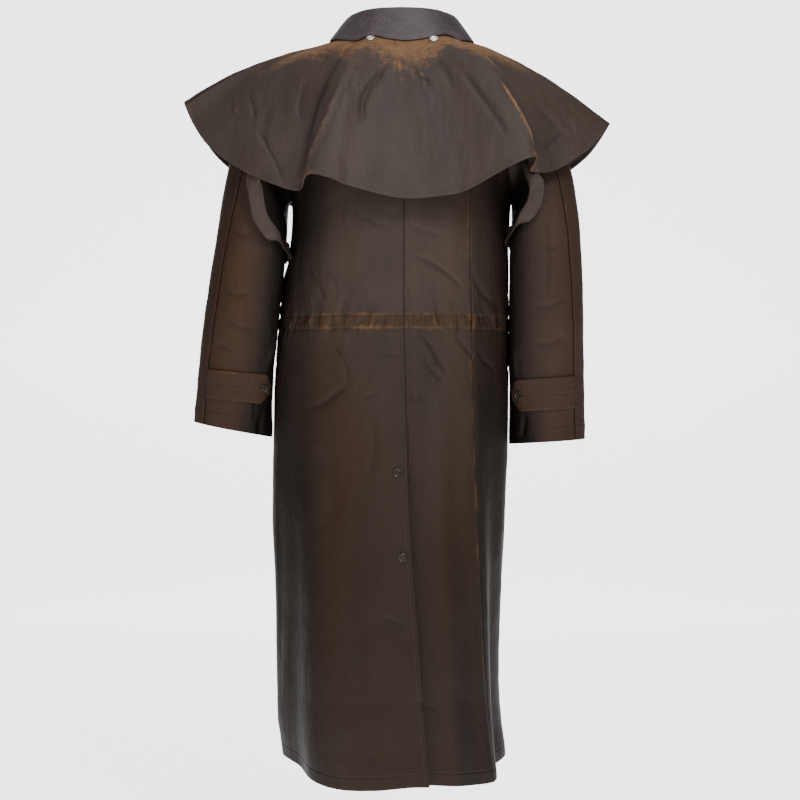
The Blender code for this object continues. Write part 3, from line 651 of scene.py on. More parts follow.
    def rim(self, outer: Array, inner: Array, flip: bool) -> list[tuple[int, ...]]:
        """The faces that close the four edges: two outer steps for each inner one.

        Args:
            outer: the outer skin's indices.
            inner: the inner skin's indices.
            flip: whether the faces are turned round.

        Returns:
            Faces, as indices.
        """
        def ring(at: Array) -> list[int]:
            """The indices round a grid, once."""
            return (at[0, :-1].tolist() + at[:-1, -1].tolist()
                    + at[-1, :0:-1].tolist() + at[:0:-1, 0].tolist())
        out, inn = ring(outer), ring(inner)
        faces = []
        for i in range(len(inn)):
            a, b, c = (out[(2 * i + k) % len(out)] for k in range(3))
            d, e = inn[(i + 1) % len(inn)], inn[i]
            face = (a, b, c, d, e)
            faces.append(face[::-1] if flip else face)
        return faces


CLOTH = 0.0018
LEATHER = 0.0024
SEAM_GAP = 0.0003
SLOPE_RUN = 0.0004


def slope(line: Callable[[float], Vector]) -> Vector:
    """The direction of a line at 0, from its own points a short run apart.

    Args:
        line: gives a point for a number near 0.

    Returns:
        The direction, not of unit length.
    """
    rough = max((line(0.01) - line(0.0)).length, (line(-0.01) - line(0.0)).length)
    step = 0.01 * SLOPE_RUN / max(rough, 1e-7)
    return line(step) - line(-step)


def normal_of(surface: Surface, u: float, v: float, outward: float) -> Vector:
    """A surface's outward direction at a place.

    Args:
        surface: gives a point for two numbers.
        u: first number of the place.
        v: second number of the place.
        outward: 1 or -1.

    Returns:
        The direction, of unit length.
    """
    along = slope(lambda step: surface(u + step, v))
    down = slope(lambda step: surface(u, v + step))
    return along.cross(down).normalized() * outward


@dataclass(frozen=True)
class BodyForm:
    """The coat's body: neckline, shoulders, armholes, chest, waist and skirt, in metres."""

    chest_z: float = -0.300
    vent_top_z: float = -0.603
    hem_z: float = -1.240
    neck_x: float = -0.003
    neck_half_width: float = 0.080
    neck_back: float = 0.078
    neck_front: float = 0.086
    neck_side_z: float = 0.012
    neck_back_z: float = 0.000
    neck_front_z: float = -0.055
    tip_x: float = 0.185
    tip_z: float = -0.036
    underarm_z: float = -0.270
    armhole_half_depth: float = 0.078
    armhole_scoop: float = 0.010
    armhole_deg: float = 42.0
    armhole_back_deg: float = 30.0
    armhole_run: float = 0.32
    shoulder_deg: float = 66.0
    left_seam_turn: float = 126.0
    right_seam_turn: float = 72.0
    vent_recess: float = 0.015
    vent_underlap: float = 0.045
    vent_spread: float = 0.060
    front_lap: float = 0.030
    front_recess: float = 0.0040
    # How far up the cloth stays as full as at the chest: quarter degrees, share
    fullness: Rows = (
        (0.0, 0.33), (15.0, 0.46), (30.0, 0.62), (45.0, 0.66), (60.0, 0.58), (75.0, 0.47), (90.0, 0.42),
    )
    # Half widths and depths: z, left, right, back, front
    sizes: Rows = (
        (-0.300, 0.190, 0.192, 0.156, 0.150), (-0.345, 0.194, 0.190, 0.151, 0.150),
        (-0.410, 0.203, 0.191, 0.140, 0.147), (-0.480, 0.212, 0.191, 0.131, 0.141),
        (-0.550, 0.219, 0.191, 0.138, 0.147), (-0.690, 0.223, 0.189, 0.163, 0.164),
        (-0.830, 0.224, 0.184, 0.188, 0.180), (-0.970, 0.218, 0.178, 0.211, 0.195),
        (-1.110, 0.216, 0.175, 0.232, 0.209), (-1.185, 0.214, 0.180, 0.243, 0.216),
        (-1.240, 0.206, 0.186, 0.250, 0.220),
    )
    # Seams round the body in degrees: z, left seam, centre, right seam
    seams: Rows = (
        (-0.300, 24.5, 92.0, 128.0), (-0.480, 26.0, 92.0, 129.0),
        (-0.620, 18.0, 93.0, 130.0), (-0.830, 16.0, 95.0, 133.5),
        (-1.000, 16.0, 99.5, 138.0), (-1.240, 16.0, 104.8, 144.0),
    )
    # The skirt's folds: degrees at the waist and the hem, half width in degrees, height
    folds: Rows = (
        (20.0, 18.0, 8.0, 0.003), (36.0, 33.0, 9.0, -0.009),
        (56.0, 52.0, 13.0, 0.006), (128.0, 143.0, 8.0, 0.011),
        (147.0, 160.0, 9.0, -0.017), (205.0, 208.0, 11.0, 0.011),
        (226.0, 229.0, 10.0, -0.012), (245.0, 247.0, 8.0, 0.009),
        (292.0, 290.0, 8.0, 0.008), (311.0, 310.0, 10.0, -0.012),
        (333.0, 332.0, 11.0, 0.012),
    )
    hem_lift_from: float = 1.020
    # How far the hem is lifted or dips round the body: degrees, lift
    hem_lifts: Rows = (
        (0.0, 0.006), (18.0, 0.012),
        (42.0, 0.000), (60.0, -0.008),
        (78.0, -0.005), (95.0, 0.001),
        (116.0, -0.004), (140.0, -0.012),
        (158.0, -0.006), (180.0, 0.002),
        (270.0, 0.000), (360.0, 0.006),
    )

    def fold_height(self, deg: float, z: float) -> float:
        """How far the skirt's folds stand out at a place.

        Args:
            deg: degrees round the coat.
            z: height in metres.

        Returns:
            Metres.
        """
        share = smooth(-z, 0.50, 1.20)
        height = 0.0
        for waist_deg, hem_deg, spread, tall in self.folds:
            away = (deg - mix(waist_deg, hem_deg, share) + 180.0) % 360.0 - 180.0
            height += tall * (0.12 + 0.88 * share) * math.exp(-((away / spread) ** 2))
        return height * smooth(-z, 0.34, 0.52)

    def ring_point(self, deg: float, z: float) -> Vector:
        """A point of the body below the chest.

        Args:
            deg: degrees round the coat.
            z: height in metres.

        Returns:
            The point.
        """
        _, left, right, back, front = table(self.sizes, z)
        c, s = math.cos(math.radians(deg)), math.sin(math.radians(deg))
        flat = Vector(((left if c > 0 else right) * c, (back if s > 0 else front) * s, 0.0))
        flat += flat.normalized() * self.fold_height(deg % 360.0, z)
        lift = table(self.hem_lifts, deg % 360.0)[1] * smooth(-z, self.hem_lift_from, -self.hem_z)
        return Vector((flat.x, flat.y, z + lift))

    def neck_point(self, deg: float, out: float = 0.0, lift: float = 0.0) -> Vector:
        """A point of the neckline, or of a line that runs outside and above it.

        Args:
            deg: degrees round the coat.
            out: metres outside the neckline.
            lift: metres above.

        Returns:
            The point.
        """
        c, s = math.cos(math.radians(deg)), math.sin(math.radians(deg))
        reach = self.neck_back if s > 0 else self.neck_front
        z = mix(self.neck_side_z, self.neck_back_z if s > 0 else self.neck_front_z, abs(s) ** 1.6)
        return Vector((self.neck_x + (self.neck_half_width + out) * c, (reach + out) * s, z + lift))

    def armhole_point(self, side: float, turn_deg: float) -> Vector:
        """A point of an armhole: 0 is the shoulder tip, 90 the back, 180 the underarm.

        Args:
            side: 1 for the left, -1 for the right.
            turn_deg: degrees round the armhole.

        Returns:
            The point.
        """
        turn = math.radians(turn_deg)
        under_x = abs(self.ring_point(0.0 if side > 0 else 180.0, self.chest_z).x) + 0.001
        down = (1 - math.cos(turn)) / 2
        x = mix(self.tip_x, under_x, down) - self.armhole_scoop * math.sin(turn) ** 2
        z = mix(self.tip_z, self.underarm_z, down)
        return Vector((side * x, self.armhole_half_depth * math.sin(turn), z))

    def armhole_turn(self, quarter: float) -> float:
        """How far round the armhole a place on the body's upper edge lies, from its top.

        Args:
            quarter: degrees from the side.

        Returns:
            Degrees round the armhole, 180 at the underarm.
        """
        if quarter <= self.armhole_back_deg:
            share = math.sin(math.radians(quarter)) / math.sin(math.radians(self.armhole_back_deg))
            return 180.0 - math.degrees(math.asin(min(share, 1.0)))
        rest = self.armhole_deg - self.armhole_back_deg
        return mix(90.0, 0.0, (quarter - self.armhole_back_deg) / rest)

    def armhole_quarter(self, turn: float) -> float:
        """The place on the body's upper edge for a turn round the armhole.

        Args:
            turn: degrees round the armhole.

        Returns:
            Degrees.
        """
        if turn >= 90.0:
            share = math.sin(math.radians(turn)) * math.sin(math.radians(self.armhole_back_deg))
            return math.degrees(math.asin(share))
        return mix(self.armhole_deg, self.armhole_back_deg, turn / 90.0)

    def armhole_leave(self, deg: float, quarter: float) -> Vector:
        """The direction in which the body's cloth leaves the armhole's edge.

        Args:
            deg: degrees round the coat.
            quarter: degrees from the side.

        Returns:
            The direction.
        """
        side = 1.0 if deg % 360.0 < 90.0 or deg % 360.0 > 270.0 else -1.0
        face = 1.0 if deg % 360.0 <= 180.0 else -1.0
        turn = self.armhole_turn(min(quarter, self.armhole_deg))
        edge = self.armhole_point(1.0, turn + 1.0) - self.armhole_point(1.0, turn - 1.0)
        round_body = math.radians(72.0 * min(1.0, (180.0 - turn) / 90.0))
        facing = Vector((math.cos(round_body), math.sin(round_body), 0.0))
        facing = facing.lerp(Vector((0.0, 0.35, 0.94)), max(0.0, 1 - turn / 90.0))
        away = math.radians(mix(28.0, 90.0, max(0.0, turn - 90.0) / 90.0))
        edge.normalize()
        leave = facing.cross(edge).normalized() * math.sin(away) + edge * math.cos(away)
        return Vector((side * leave.x, face * leave.y, leave.z))

    def top_point(self, deg: float) -> Vector:
        """The body's upper edge: neckline, shoulder seam and armhole in turn.

        Args:
            deg: degrees round the coat.

        Returns:
            The point.
        """
        deg = deg % 360.0
        side = 1.0 if deg < 90.0 or deg > 270.0 else -1.0
        face = 1.0 if deg <= 180.0 else -1.0
        quarter = abs((deg + 90.0) % 180.0 - 90.0)
        if quarter <= self.armhole_deg:
            return self.armhole_point(side, face * self.armhole_turn(quarter))
        if quarter <= self.shoulder_deg:
            share = (quarter - self.armhole_deg) / (self.shoulder_deg - self.armhole_deg)
            tip = Vector((side * self.tip_x, 0.0, self.tip_z))
            return tip.lerp(self.neck_point(0.0 if side > 0 else 180.0), share)
        turn = 90.0 * (quarter - self.shoulder_deg) / (90.0 - self.shoulder_deg)
        return self.neck_point(face * (turn if side > 0 else 180.0 - turn))

    def yoke_point(self, deg: float, share: float) -> Vector:
        """A point between the upper edge, at 0, and the chest, at 1.

        Args:
            deg: degrees round the coat.
            share: 0 at the upper edge to 1 at the chest.

        Returns:
            The point.
        """
        top, low = self.top_point(deg), self.ring_point(deg, self.chest_z)
        quarter = abs((deg + 90.0) % 180.0 - 90.0)
        over = smooth(quarter, self.armhole_deg - 8.0, 50.0)
        across = Vector((low.x - top.x, low.y - top.y, 0.0)) * 0.62
        across.z = -0.16 * (top.z - low.z)
        leave = self.armhole_leave(deg, quarter) * (top - low).length * self.armhole_run
        first = top + leave.lerp(across, over)
        second = low + Vector((0.0, 0.0, (top.z - low.z) * table(self.fullness, quarter)[1]))
        keep = 1 - share
        return (top * keep ** 3 + first * 3 * keep * keep * share
                + second * 3 * keep * share * share + low * share ** 3)

    def point(self, deg: float, down: float, inset: float = 0.0) -> Vector:
        """A point of the body. down runs from 0 at the upper edge, by 1 at the chest, to 2.

        Args:
            deg: degrees round the coat.
            down: place down the coat.
            inset: how far inside, in metres.

        Returns:
            The point.
        """
        if down <= 1.0:
            point = self.yoke_point(deg, down)
        else:
            point = self.ring_point(deg, self.z_at(down))
        if inset:
            point = point - Vector((point.x, point.y, 0.0)).normalized() * inset
        return point

    def z_at(self, down: float) -> float:
        """The height of a ring of the body."""
        return self.chest_z if down <= 1.0 else mix(self.chest_z, self.hem_z, down - 1.0)

    def down_at(self, z: float) -> float:
        """The ring of the body at a height."""
        return 1.0 + (self.chest_z - z) / (self.chest_z - self.hem_z)

    def seam_deg(self, which: int, down: float) -> float:
        """Where a seam lies round the body: 1 is the left seam, 2 the centre and 3 the right.

        Args:
            which: 1 left, 2 centre, 3 right.
            down: place down the coat.

        Returns:
            Degrees.
        """
        at = table(self.seams, self.z_at(down))[which]
        if down >= 1.0 or which == 2:
            return at
        left = self.armhole_quarter(self.left_seam_turn)
        top = left if which == 1 else 180.0 - self.armhole_quarter(self.right_seam_turn)
        return mix(top, at, smooth(down, 0.0, 1.0))

    def degrees_for(self, distance: float, deg: float, down: float) -> float:
        """The turn that covers a distance along the cloth at a place on the body."""
        here, there = self.point(deg, down), self.point(deg + 0.5, down)
        return 0.5 * distance / max((there - here).length, 1e-6)

    def half_gap(self, which: int, side: float, down: float) -> float:
        """A seam's place, moved back by half of the seam gap."""
        deg = self.seam_deg(which, down)
        return deg + side * self.degrees_for(SEAM_GAP / 2, deg, down)

    def under_vent(self, deg: float, down: float) -> float:
        """How far the vent's under layer lies behind the top one.

        Args:
            deg: degrees round the coat.
            down: place down the coat.

        Returns:
            Metres.
        """
        deepest = self.vent_recess * smooth(self.vent_top_z - self.z_at(down), 0.0, 0.20)
        spread = self.degrees_for(self.vent_spread, 100.0, down)
        return deepest * (1 - smooth(deg - self.seam_deg(2, down), 0.0, spread))

    def vent_under_edge(self, down: float) -> float:
        """The under layer's hidden edge: at the seam above the vent, past it below.

        Args:
            down: place down the coat.

        Returns:
            Degrees.
        """
        centre = self.seam_deg(2, down)
        lap = self.vent_underlap * smooth(self.vent_top_z - self.z_at(down), 0.09, 0.30)
        return centre + self.degrees_for(SEAM_GAP / 2 - lap, centre, down)

    def front_edge(self, side: float, down: float) -> float:
        """A front's edge, past the centre line: -1 is the wearer's left front, on top."""
        return -90.0 + side * self.degrees_for(self.front_lap, -90.0, down)

    def under_front(self, deg: float, down: float) -> float:
        """How far the right front is set in where the left one lies over it.

        Args:
            deg: degrees round the coat.
            down: place down the coat.

        Returns:
            Metres.
        """
        away = (deg + 270.0) % 360.0 - 180.0
        reach = self.degrees_for(self.front_lap, -90.0, down)
        return self.front_recess * smooth(away, -2.3 * reach, -1.3 * reach)


def casing(away: dict[Edge, Array], places: Array) -> Array:
    """The drawn-up waist casing: a low band, gathered between its two rows of stitches.

    Args:
        away: distances from each edge.
        places: points of the cloth, n by 3.

    Returns:
        Heights in metres.
    """
    middle, half = Body.waist_z, Body.waist_half
    off = np.abs(places[:, 2] - middle)
    band = 1 - smooth_all(off, half - 0.003, half + 0.004)
    line = np.exp(-((off - half) / 0.0025) ** 2)
    across = np.stack([away[Edge.FIRST], places[:, 2], np.zeros(len(places))], axis=1)
    fine = Ripple(0.007, 3.3, (1.0, 2.6, 1.0), 3.0).apply(across)
    wide = Ripple(0.017, 4.2, (1.0, 3.0, 1.0), 8.0).apply(across)
    return (band * 0.7 - line * 1.3) * MM + fine * np.exp(-(off / 0.014) ** 2) + (
        wide * np.exp(-(off / 0.030) ** 2))


@dataclass
class Body:
    """The two back panels and the two fronts."""

    form: BodyForm
    finish: bpy.types.Material
    relief: Relief
    wear_at: Callable[[Array, Array], Array]
    back_spacing: float = 0.0029
    front_spacing: float = 0.0042
    waist_z: ClassVar[float] = -0.4885
    waist_half: ClassVar[float] = 0.0115

    def panel(self, node: str, first: Callable[[float], float], last: Callable[[float], float],
              seams: tuple[Seam, ...], spacing: float,
              inset: Callable[[float, float], float] | None = None) -> None:
        """Builds a panel between two edges, each a function of the way down.

        Args:
            node: the solid's name.
            first: its first edge, in degrees.
            last: its last edge, in degrees.
            seams: how its edges are sewn.
            spacing: the wanted step in metres.
            inset: how far it lies under its neighbour.
        """
        def surface(share: float, down: float) -> Vector:
            """The panel's outer side.

            Args:
                share: 0 to 1 across the piece.
                down: place down the coat.

            Returns:
                The point.
            """
            down = max(down, 0.0)
            deg = mix(first(down), last(down), share)
            return self.form.point(deg, down, inset(deg, down) if inset else 0.0)

        Sheet(node, surface, (0.0, 1.0), [0.0, 1.0, 2.0], -1.0, CLOTH, self.finish, spacing=spacing,
              relief=self.relief, seams=seams, height_at=casing, wear_at=self.wear_at,
              # Painted shade: cloth that faces sideways is darkened in colour.
              waxed_at=lambda normals: 0.80 * smooth_all(np.abs(normals[:, 0]), 0.36, 0.86),
              rests_on=("collar_stand",)).build()

    def build(self) -> None:
        """Builds the four panels."""
        form = self.form
        hem = Seam(Edge.HEM, band=22.0, raised=0.5, wear=0.35, wear_width=4.0)
        self.panel(
            "back_left", lambda d: form.half_gap(1, 1, d), lambda d: form.half_gap(2, -1, d),
            (Seam(Edge.FIRST, band=10.0, raised=0.9, ditch=1.0, wear=1.05, wear_width=4.0),
             Seam(Edge.LAST, band=9.0, raised=0.4, ditch=0.6, wear=0.0), hem), self.back_spacing)
        self.panel(
            "back_right", form.vent_under_edge, lambda d: form.half_gap(3, -1, d),
            (Seam(Edge.FIRST, wear=0.0), hem,
             Seam(Edge.LAST, band=10.0, raised=0.9, ditch=1.0, wear=0.95, wear_width=4.0)),
            self.back_spacing, form.under_vent)
        self.panel(
            "front_left", lambda d: form.front_edge(-1.0, d), lambda d: form.half_gap(1, -1, d),
            (Seam(Edge.FIRST, band=60.0, raised=0.5, wear=0.6), hem,
             Seam(Edge.LAST, wear=0.5, ditch=0.8)), self.front_spacing)
        self.panel(
            "front_right", lambda d: form.half_gap(3, 1, d) - 360.0, lambda d: form.front_edge(1.0, d),
            (Seam(Edge.FIRST, wear=0.5, ditch=0.8), hem, Seam(Edge.LAST, wear=0.3)),
            self.front_spacing, form.under_front)


@dataclass
class Sleeve:
    """One sleeve of two pieces with a pointed tab at the cuff. side is 1 on the wearer's left."""

    side: float
    word: str
    rows: Rows
    body: BodyForm
    finish: bpy.types.Material
    relief: Relief
    spacing: float = 0.0036
    bulge: float = 0.026
    bulge_deg: tuple[float, float] = (124.0, 34.0)
    bulge_rings: tuple[float, float] = (2.8, 6.8)
    bulge_fade: tuple[float, float] = (9.4, 12.8)
    back_seam: tuple[float, float] = (72.0, 48.0)
    front_seam: float = -126.0
    gap_deg: float = math.degrees(SEAM_GAP / 2 / 0.07)
    tab_ring: tuple[float, float] = (9.30, 10.13)
    tab_tip_deg: float = 138.0
    tab_point_deg: float = 16.0
    tab_lift: float = 0.0018

    def tube(self, deg: float, ring: float) -> Vector:
        """A point of the sleeve: degrees round it, and its ring from 0 at the armhole.

        Args:
            deg: degrees round the coat.
            ring: ring number from 0 at the armhole.

        Returns:
            The point.
        """
        ring = max(ring, 0.0)
        hole = self.body.armhole_point(self.side, deg) + Vector((self.side * SEAM_GAP * 3, 0.0, 0.0))
        inner_x, inner_z, outer_x, outer_z, half_depth, mid_y = spline(self.rows, max(ring - 1.0, 0.0))
        c, s = math.cos(math.radians(deg)), math.sin(math.radians(deg))
        middle, spread = self.bulge_deg
        away = (deg - middle + 180.0) % 360.0 - 180.0
        bulge = self.bulge * math.exp(-((away / spread) ** 2)) * smooth(ring, *self.bulge_rings)
        bulge *= 1 - smooth(ring, *self.bulge_fade)
        tube = Vector((
            self.side * (mix(inner_x, outer_x, (1 + c) / 2) - bulge),
            mid_y + half_depth * s,
            mix(inner_z, outer_z, (1 + c) / 2),
        ))
        return hole.lerp(tube, ring) if ring < 1.0 else tube

    def seam(self, ring: float) -> float:
        """Where the back seam lies round the sleeve."""
        return mix(*self.back_seam, smooth(ring, 0.0, 12.0))

    def top(self, share: float, ring: float) -> Vector:
        """The outer piece."""
        return self.tube(mix(self.front_seam + self.gap_deg, self.seam(ring) - self.gap_deg, share), ring)

    def under(self, share: float, ring: float) -> Vector:
        """The under piece."""
        return self.tube(mix(self.seam(ring) + self.gap_deg, 360.0 + self.front_seam - self.gap_deg, share),
                         ring)

    def tab(self, share: float, across: float) -> Vector:
        """The cuff tab's middle surface, pointed at its snap.

        Args:
            share: 0 to 1 across the piece.
            across: -1 to 1 from edge to edge.

        Returns:
            The point.
        """
        deg = mix(self.seam(10.7) + 1.0, self.tab_tip_deg, share)
        pointed = smooth(deg, self.tab_tip_deg - self.tab_point_deg, self.tab_tip_deg)
        half = (self.tab_ring[1] - self.tab_ring[0]) / 2 * (1 - 0.72 * pointed)
        return self.tube(deg, 1.0 + sum(self.tab_ring) / 2 + half * across)

    def build(self) -> None:
        """Builds the two pieces and the tab."""
        def waxed(normals: Array) -> Array:
            """Painted shade: the cloth that faces the body is darkened in colour."""
            return smooth_all(-self.side * normals[:, 0], -0.06, 0.46)

        hem = Seam(Edge.HEM, band=28.0, raised=0.6, wear=0.4, wear_width=4.0)
        armhole = Seam(Edge.TOP, band=8.0, raised=0.5, ditch=0.6, wear=0.5)
        felled = Seam(Edge.LAST, band=9.0, raised=0.6, ditch=0.8, wear=0.45)
        plain = Seam(Edge.FIRST, ditch=0.9, wear=0.35)
        pieces = {"top": (self.top, felled), "under": (self.under, Seam(Edge.LAST, ditch=0.8, wear=0.3))}
        for piece, (surface, last) in pieces.items():
            Sheet(f"sleeve_{self.word}_{piece}", surface, (0.0, 1.0), [0.0, 1.0, 12.0], -self.side,
                  CLOTH, self.finish, spacing=self.spacing, relief=self.relief,
                  seams=(hem, armhole, plain, last), waxed_at=waxed,
                  rests_on=(f"back_{self.word}",)).build()
        edges = tuple(Seam(edge, band=1.2, raised=-0.4, wear=0.55, wear_width=2.5) for edge in Edge)
        Sheet(f"cuff_tab_{self.word}", self.tab, (0.0, 1.0), [-1.0, 0.0, 1.0], -self.side, CLOTH,
              self.finish, spacing=0.0016, lift=self.tab_lift, relief=self.relief, seams=edges,
              held="laid", rests_on=(f"sleeve_{self.word}_under",)).build()


@dataclass
class Cape:
    """The shoulder cape: a back and two fronts, sewn together along the shoulders."""

    body: BodyForm
    finish: bpy.types.Material
    relief: Relief
    wear_at: Callable[[Array, Array], Array]
    back_spacing: float = 0.0031
    front_spacing: float = 0.0042
    neck_out: float = 0.0035
    neck_lift: float = 0.0042
    seam_rows: tuple[float, float] = (6.35, 23.7)
    side_rows: tuple[int, ...] = (0, 6, 15, 24, 30)
    neck_deg: tuple[float, ...] = (-88.8, 0.0, 90.0, 180.0, 268.8)
    # The hem: direction in degrees, reach from the neck, z
    hem_rows: Rows = (
        (-89.4, 0.1960, -0.285), (-72.0, 0.2120, -0.281),
        (-57.0, 0.2560, -0.264), (-43.0, 0.2580, -0.262),
        (-26.0, 0.2800, -0.238), (-10.0, 0.3380, -0.180),
        (0.0, 0.3790, -0.098), (5.0, 0.3620, -0.140),
        (13.0, 0.3330, -0.190), (21.2, 0.2920, -0.230),
        (30.9, 0.2530, -0.258), (41.4, 0.2270, -0.273),
        (52.9, 0.2507, -0.254), (61.9, 0.2437, -0.261),
        (70.5, 0.2120, -0.276), (90.0, 0.1920, -0.291),
        (108.0, 0.2010, -0.288), (120.3, 0.2259, -0.277),
        (131.3, 0.2863, -0.237), (138.3, 0.3006, -0.225),
        (149.0, 0.2560, -0.238), (158.9, 0.2820, -0.232),
        (167.4, 0.3214, -0.198), (171.6, 0.3433, -0.175),
        (180.0, 0.3690, -0.136), (190.0, 0.3400, -0.185),
        (205.0, 0.2800, -0.238), (222.0, 0.2540, -0.262),
        (236.0, 0.2550, -0.262), (251.0, 0.2130, -0.280),
        (269.4, 0.1960, -0.285),
    )
    # How far out and down the roll over the shoulders lies: direction, reach, drop
    crown_rows: Rows = (
        (-90.0, 0.74, 0.20), (-30.0, 0.78, 0.24),
        (0.0, 0.63, 0.30), (30.0, 0.76, 0.20),
        (90.0, 0.74, 0.15), (150.0, 0.74, 0.18),
        (180.0, 0.50, 0.20), (210.0, 0.76, 0.24),
        (270.0, 0.74, 0.20),
    )
    leaves: Rows = ()

    def __post_init__(self) -> None:
        """Works out where each row leaves the neck, in step with the cloth along the hem."""
        hem = [self.hem(i) for i in range(len(self.hem_rows))]
        degrees = [self.neck_deg[0]] * len(hem)
        for first, last, low, high in zip(
                self.side_rows, self.side_rows[1:], self.neck_deg, self.neck_deg[1:]):
            runs = [(hem[i + 1] - hem[i]).length for i in range(first, last)]
            for i in range(len(runs)):
                degrees[first + i + 1] = mix(low, high, sum(runs[:i + 1]) / sum(runs))
        self.leaves = tuple((value,) for value in degrees)

    def hem(self, at: float) -> Vector:
        """A point of the hem at a whole or part row number.

        Args:
            at: row number, whole or in part.

        Returns:
            The point.
        """
        deg, reach, z = spline(self.hem_rows, at)
        turn = math.radians(deg)
        return Vector((reach * math.cos(turn), reach * math.sin(turn), z))

    def point(self, at: float, down: float) -> Vector:
        """A point of the cape: a row number round it, and 0 at the neck to 1 at the hem.

        Args:
            at: row number, whole or in part.
            down: place down the coat.

        Returns:
            The point.
        """
        deg = spline(self.leaves, at)[0]
        start = self.body.neck_point(deg, self.neck_out, self.neck_lift)
        end = self.hem(at)
        _, reach, drop = table(self.crown_rows, deg)
        crown = Vector((mix(start.x, end.x, reach), mix(start.y, end.y, reach),
                        mix(start.z, end.z, drop)))
        keep = 1 - down
        return start * keep * keep + crown * 2 * keep * down + end * down * down

    def row(self, deg: float) -> float:
        """The row number that leaves the neck in a direction.

        Args:
            deg: degrees round the coat.

        Returns:
            The row number.
        """
        deg = (deg + 90.0) % 360.0 - 90.0
        low, high = 0.0, len(self.hem_rows) - 1.0
        for _ in range(40):
            middle = (low + high) / 2
            if spline(self.leaves, middle)[0] < deg:
                low = middle
            else:
                high = middle
        return (low + high) / 2

    def down(self, at: float, wanted: float, measure: Callable[[Vector], float]) -> float:
        """How far down a row a measure, which grows downwards, reaches a value.

        Args:
            at: row number, whole or in part.
            wanted: the value.
            measure: a point's measure.

        Returns:
            0 at the neck to 1 at the hem.
        """
        low, high = 0.0, 1.0
        for _ in range(40):
            middle = (low + high) / 2
            if measure(self.point(at, middle)) < wanted:
                low = middle
            else:
                high = middle
        return (low + high) / 2

    def gap(self, at: float, side: float) -> float:
        """A seam's row number, moved back by half of the seam gap."""
        run = (self.point(at + 0.05, 0.3) - self.point(at, 0.3)).length
        return at + side * 0.05 * SEAM_GAP / run

    def build(self) -> None:
        """Builds the three pieces."""
        first, last = self.seam_rows
        hem = Seam(Edge.HEM, band=9.0, raised=0.45, wear=0.42, wear_width=2.2)
        spans = {
            "cape_front_left": (0.0, self.gap(first, -1), self.front_spacing),
            "cape_back": (self.gap(first, 1), self.gap(last, -1), self.back_spacing),
            "cape_front_right": (self.gap(last, 1), len(self.hem_rows) - 1.0, self.front_spacing),
        }
        for node, (low, high, spacing) in spans.items():
            felled = node == "cape_back"
            seams = (hem,) + tuple(
                Seam(edge, band=9.0 if felled else 0.0, raised=0.9, ditch=1.1, wear=1.3, wear_width=6.5,
                     fade=(110.0, 200.0))
                for edge in (Edge.FIRST, Edge.LAST))
            Sheet(node, self.point, (low, high), [0.0, 0.5, 1.0], -1.0, CLOTH, self.finish,
                  spacing=spacing, relief=self.relief, seams=seams, wear_at=self.wear_at,
                  held="draped", rests_on=("back_left", "back_right", "front_left", "front_right"),
                  ).build()


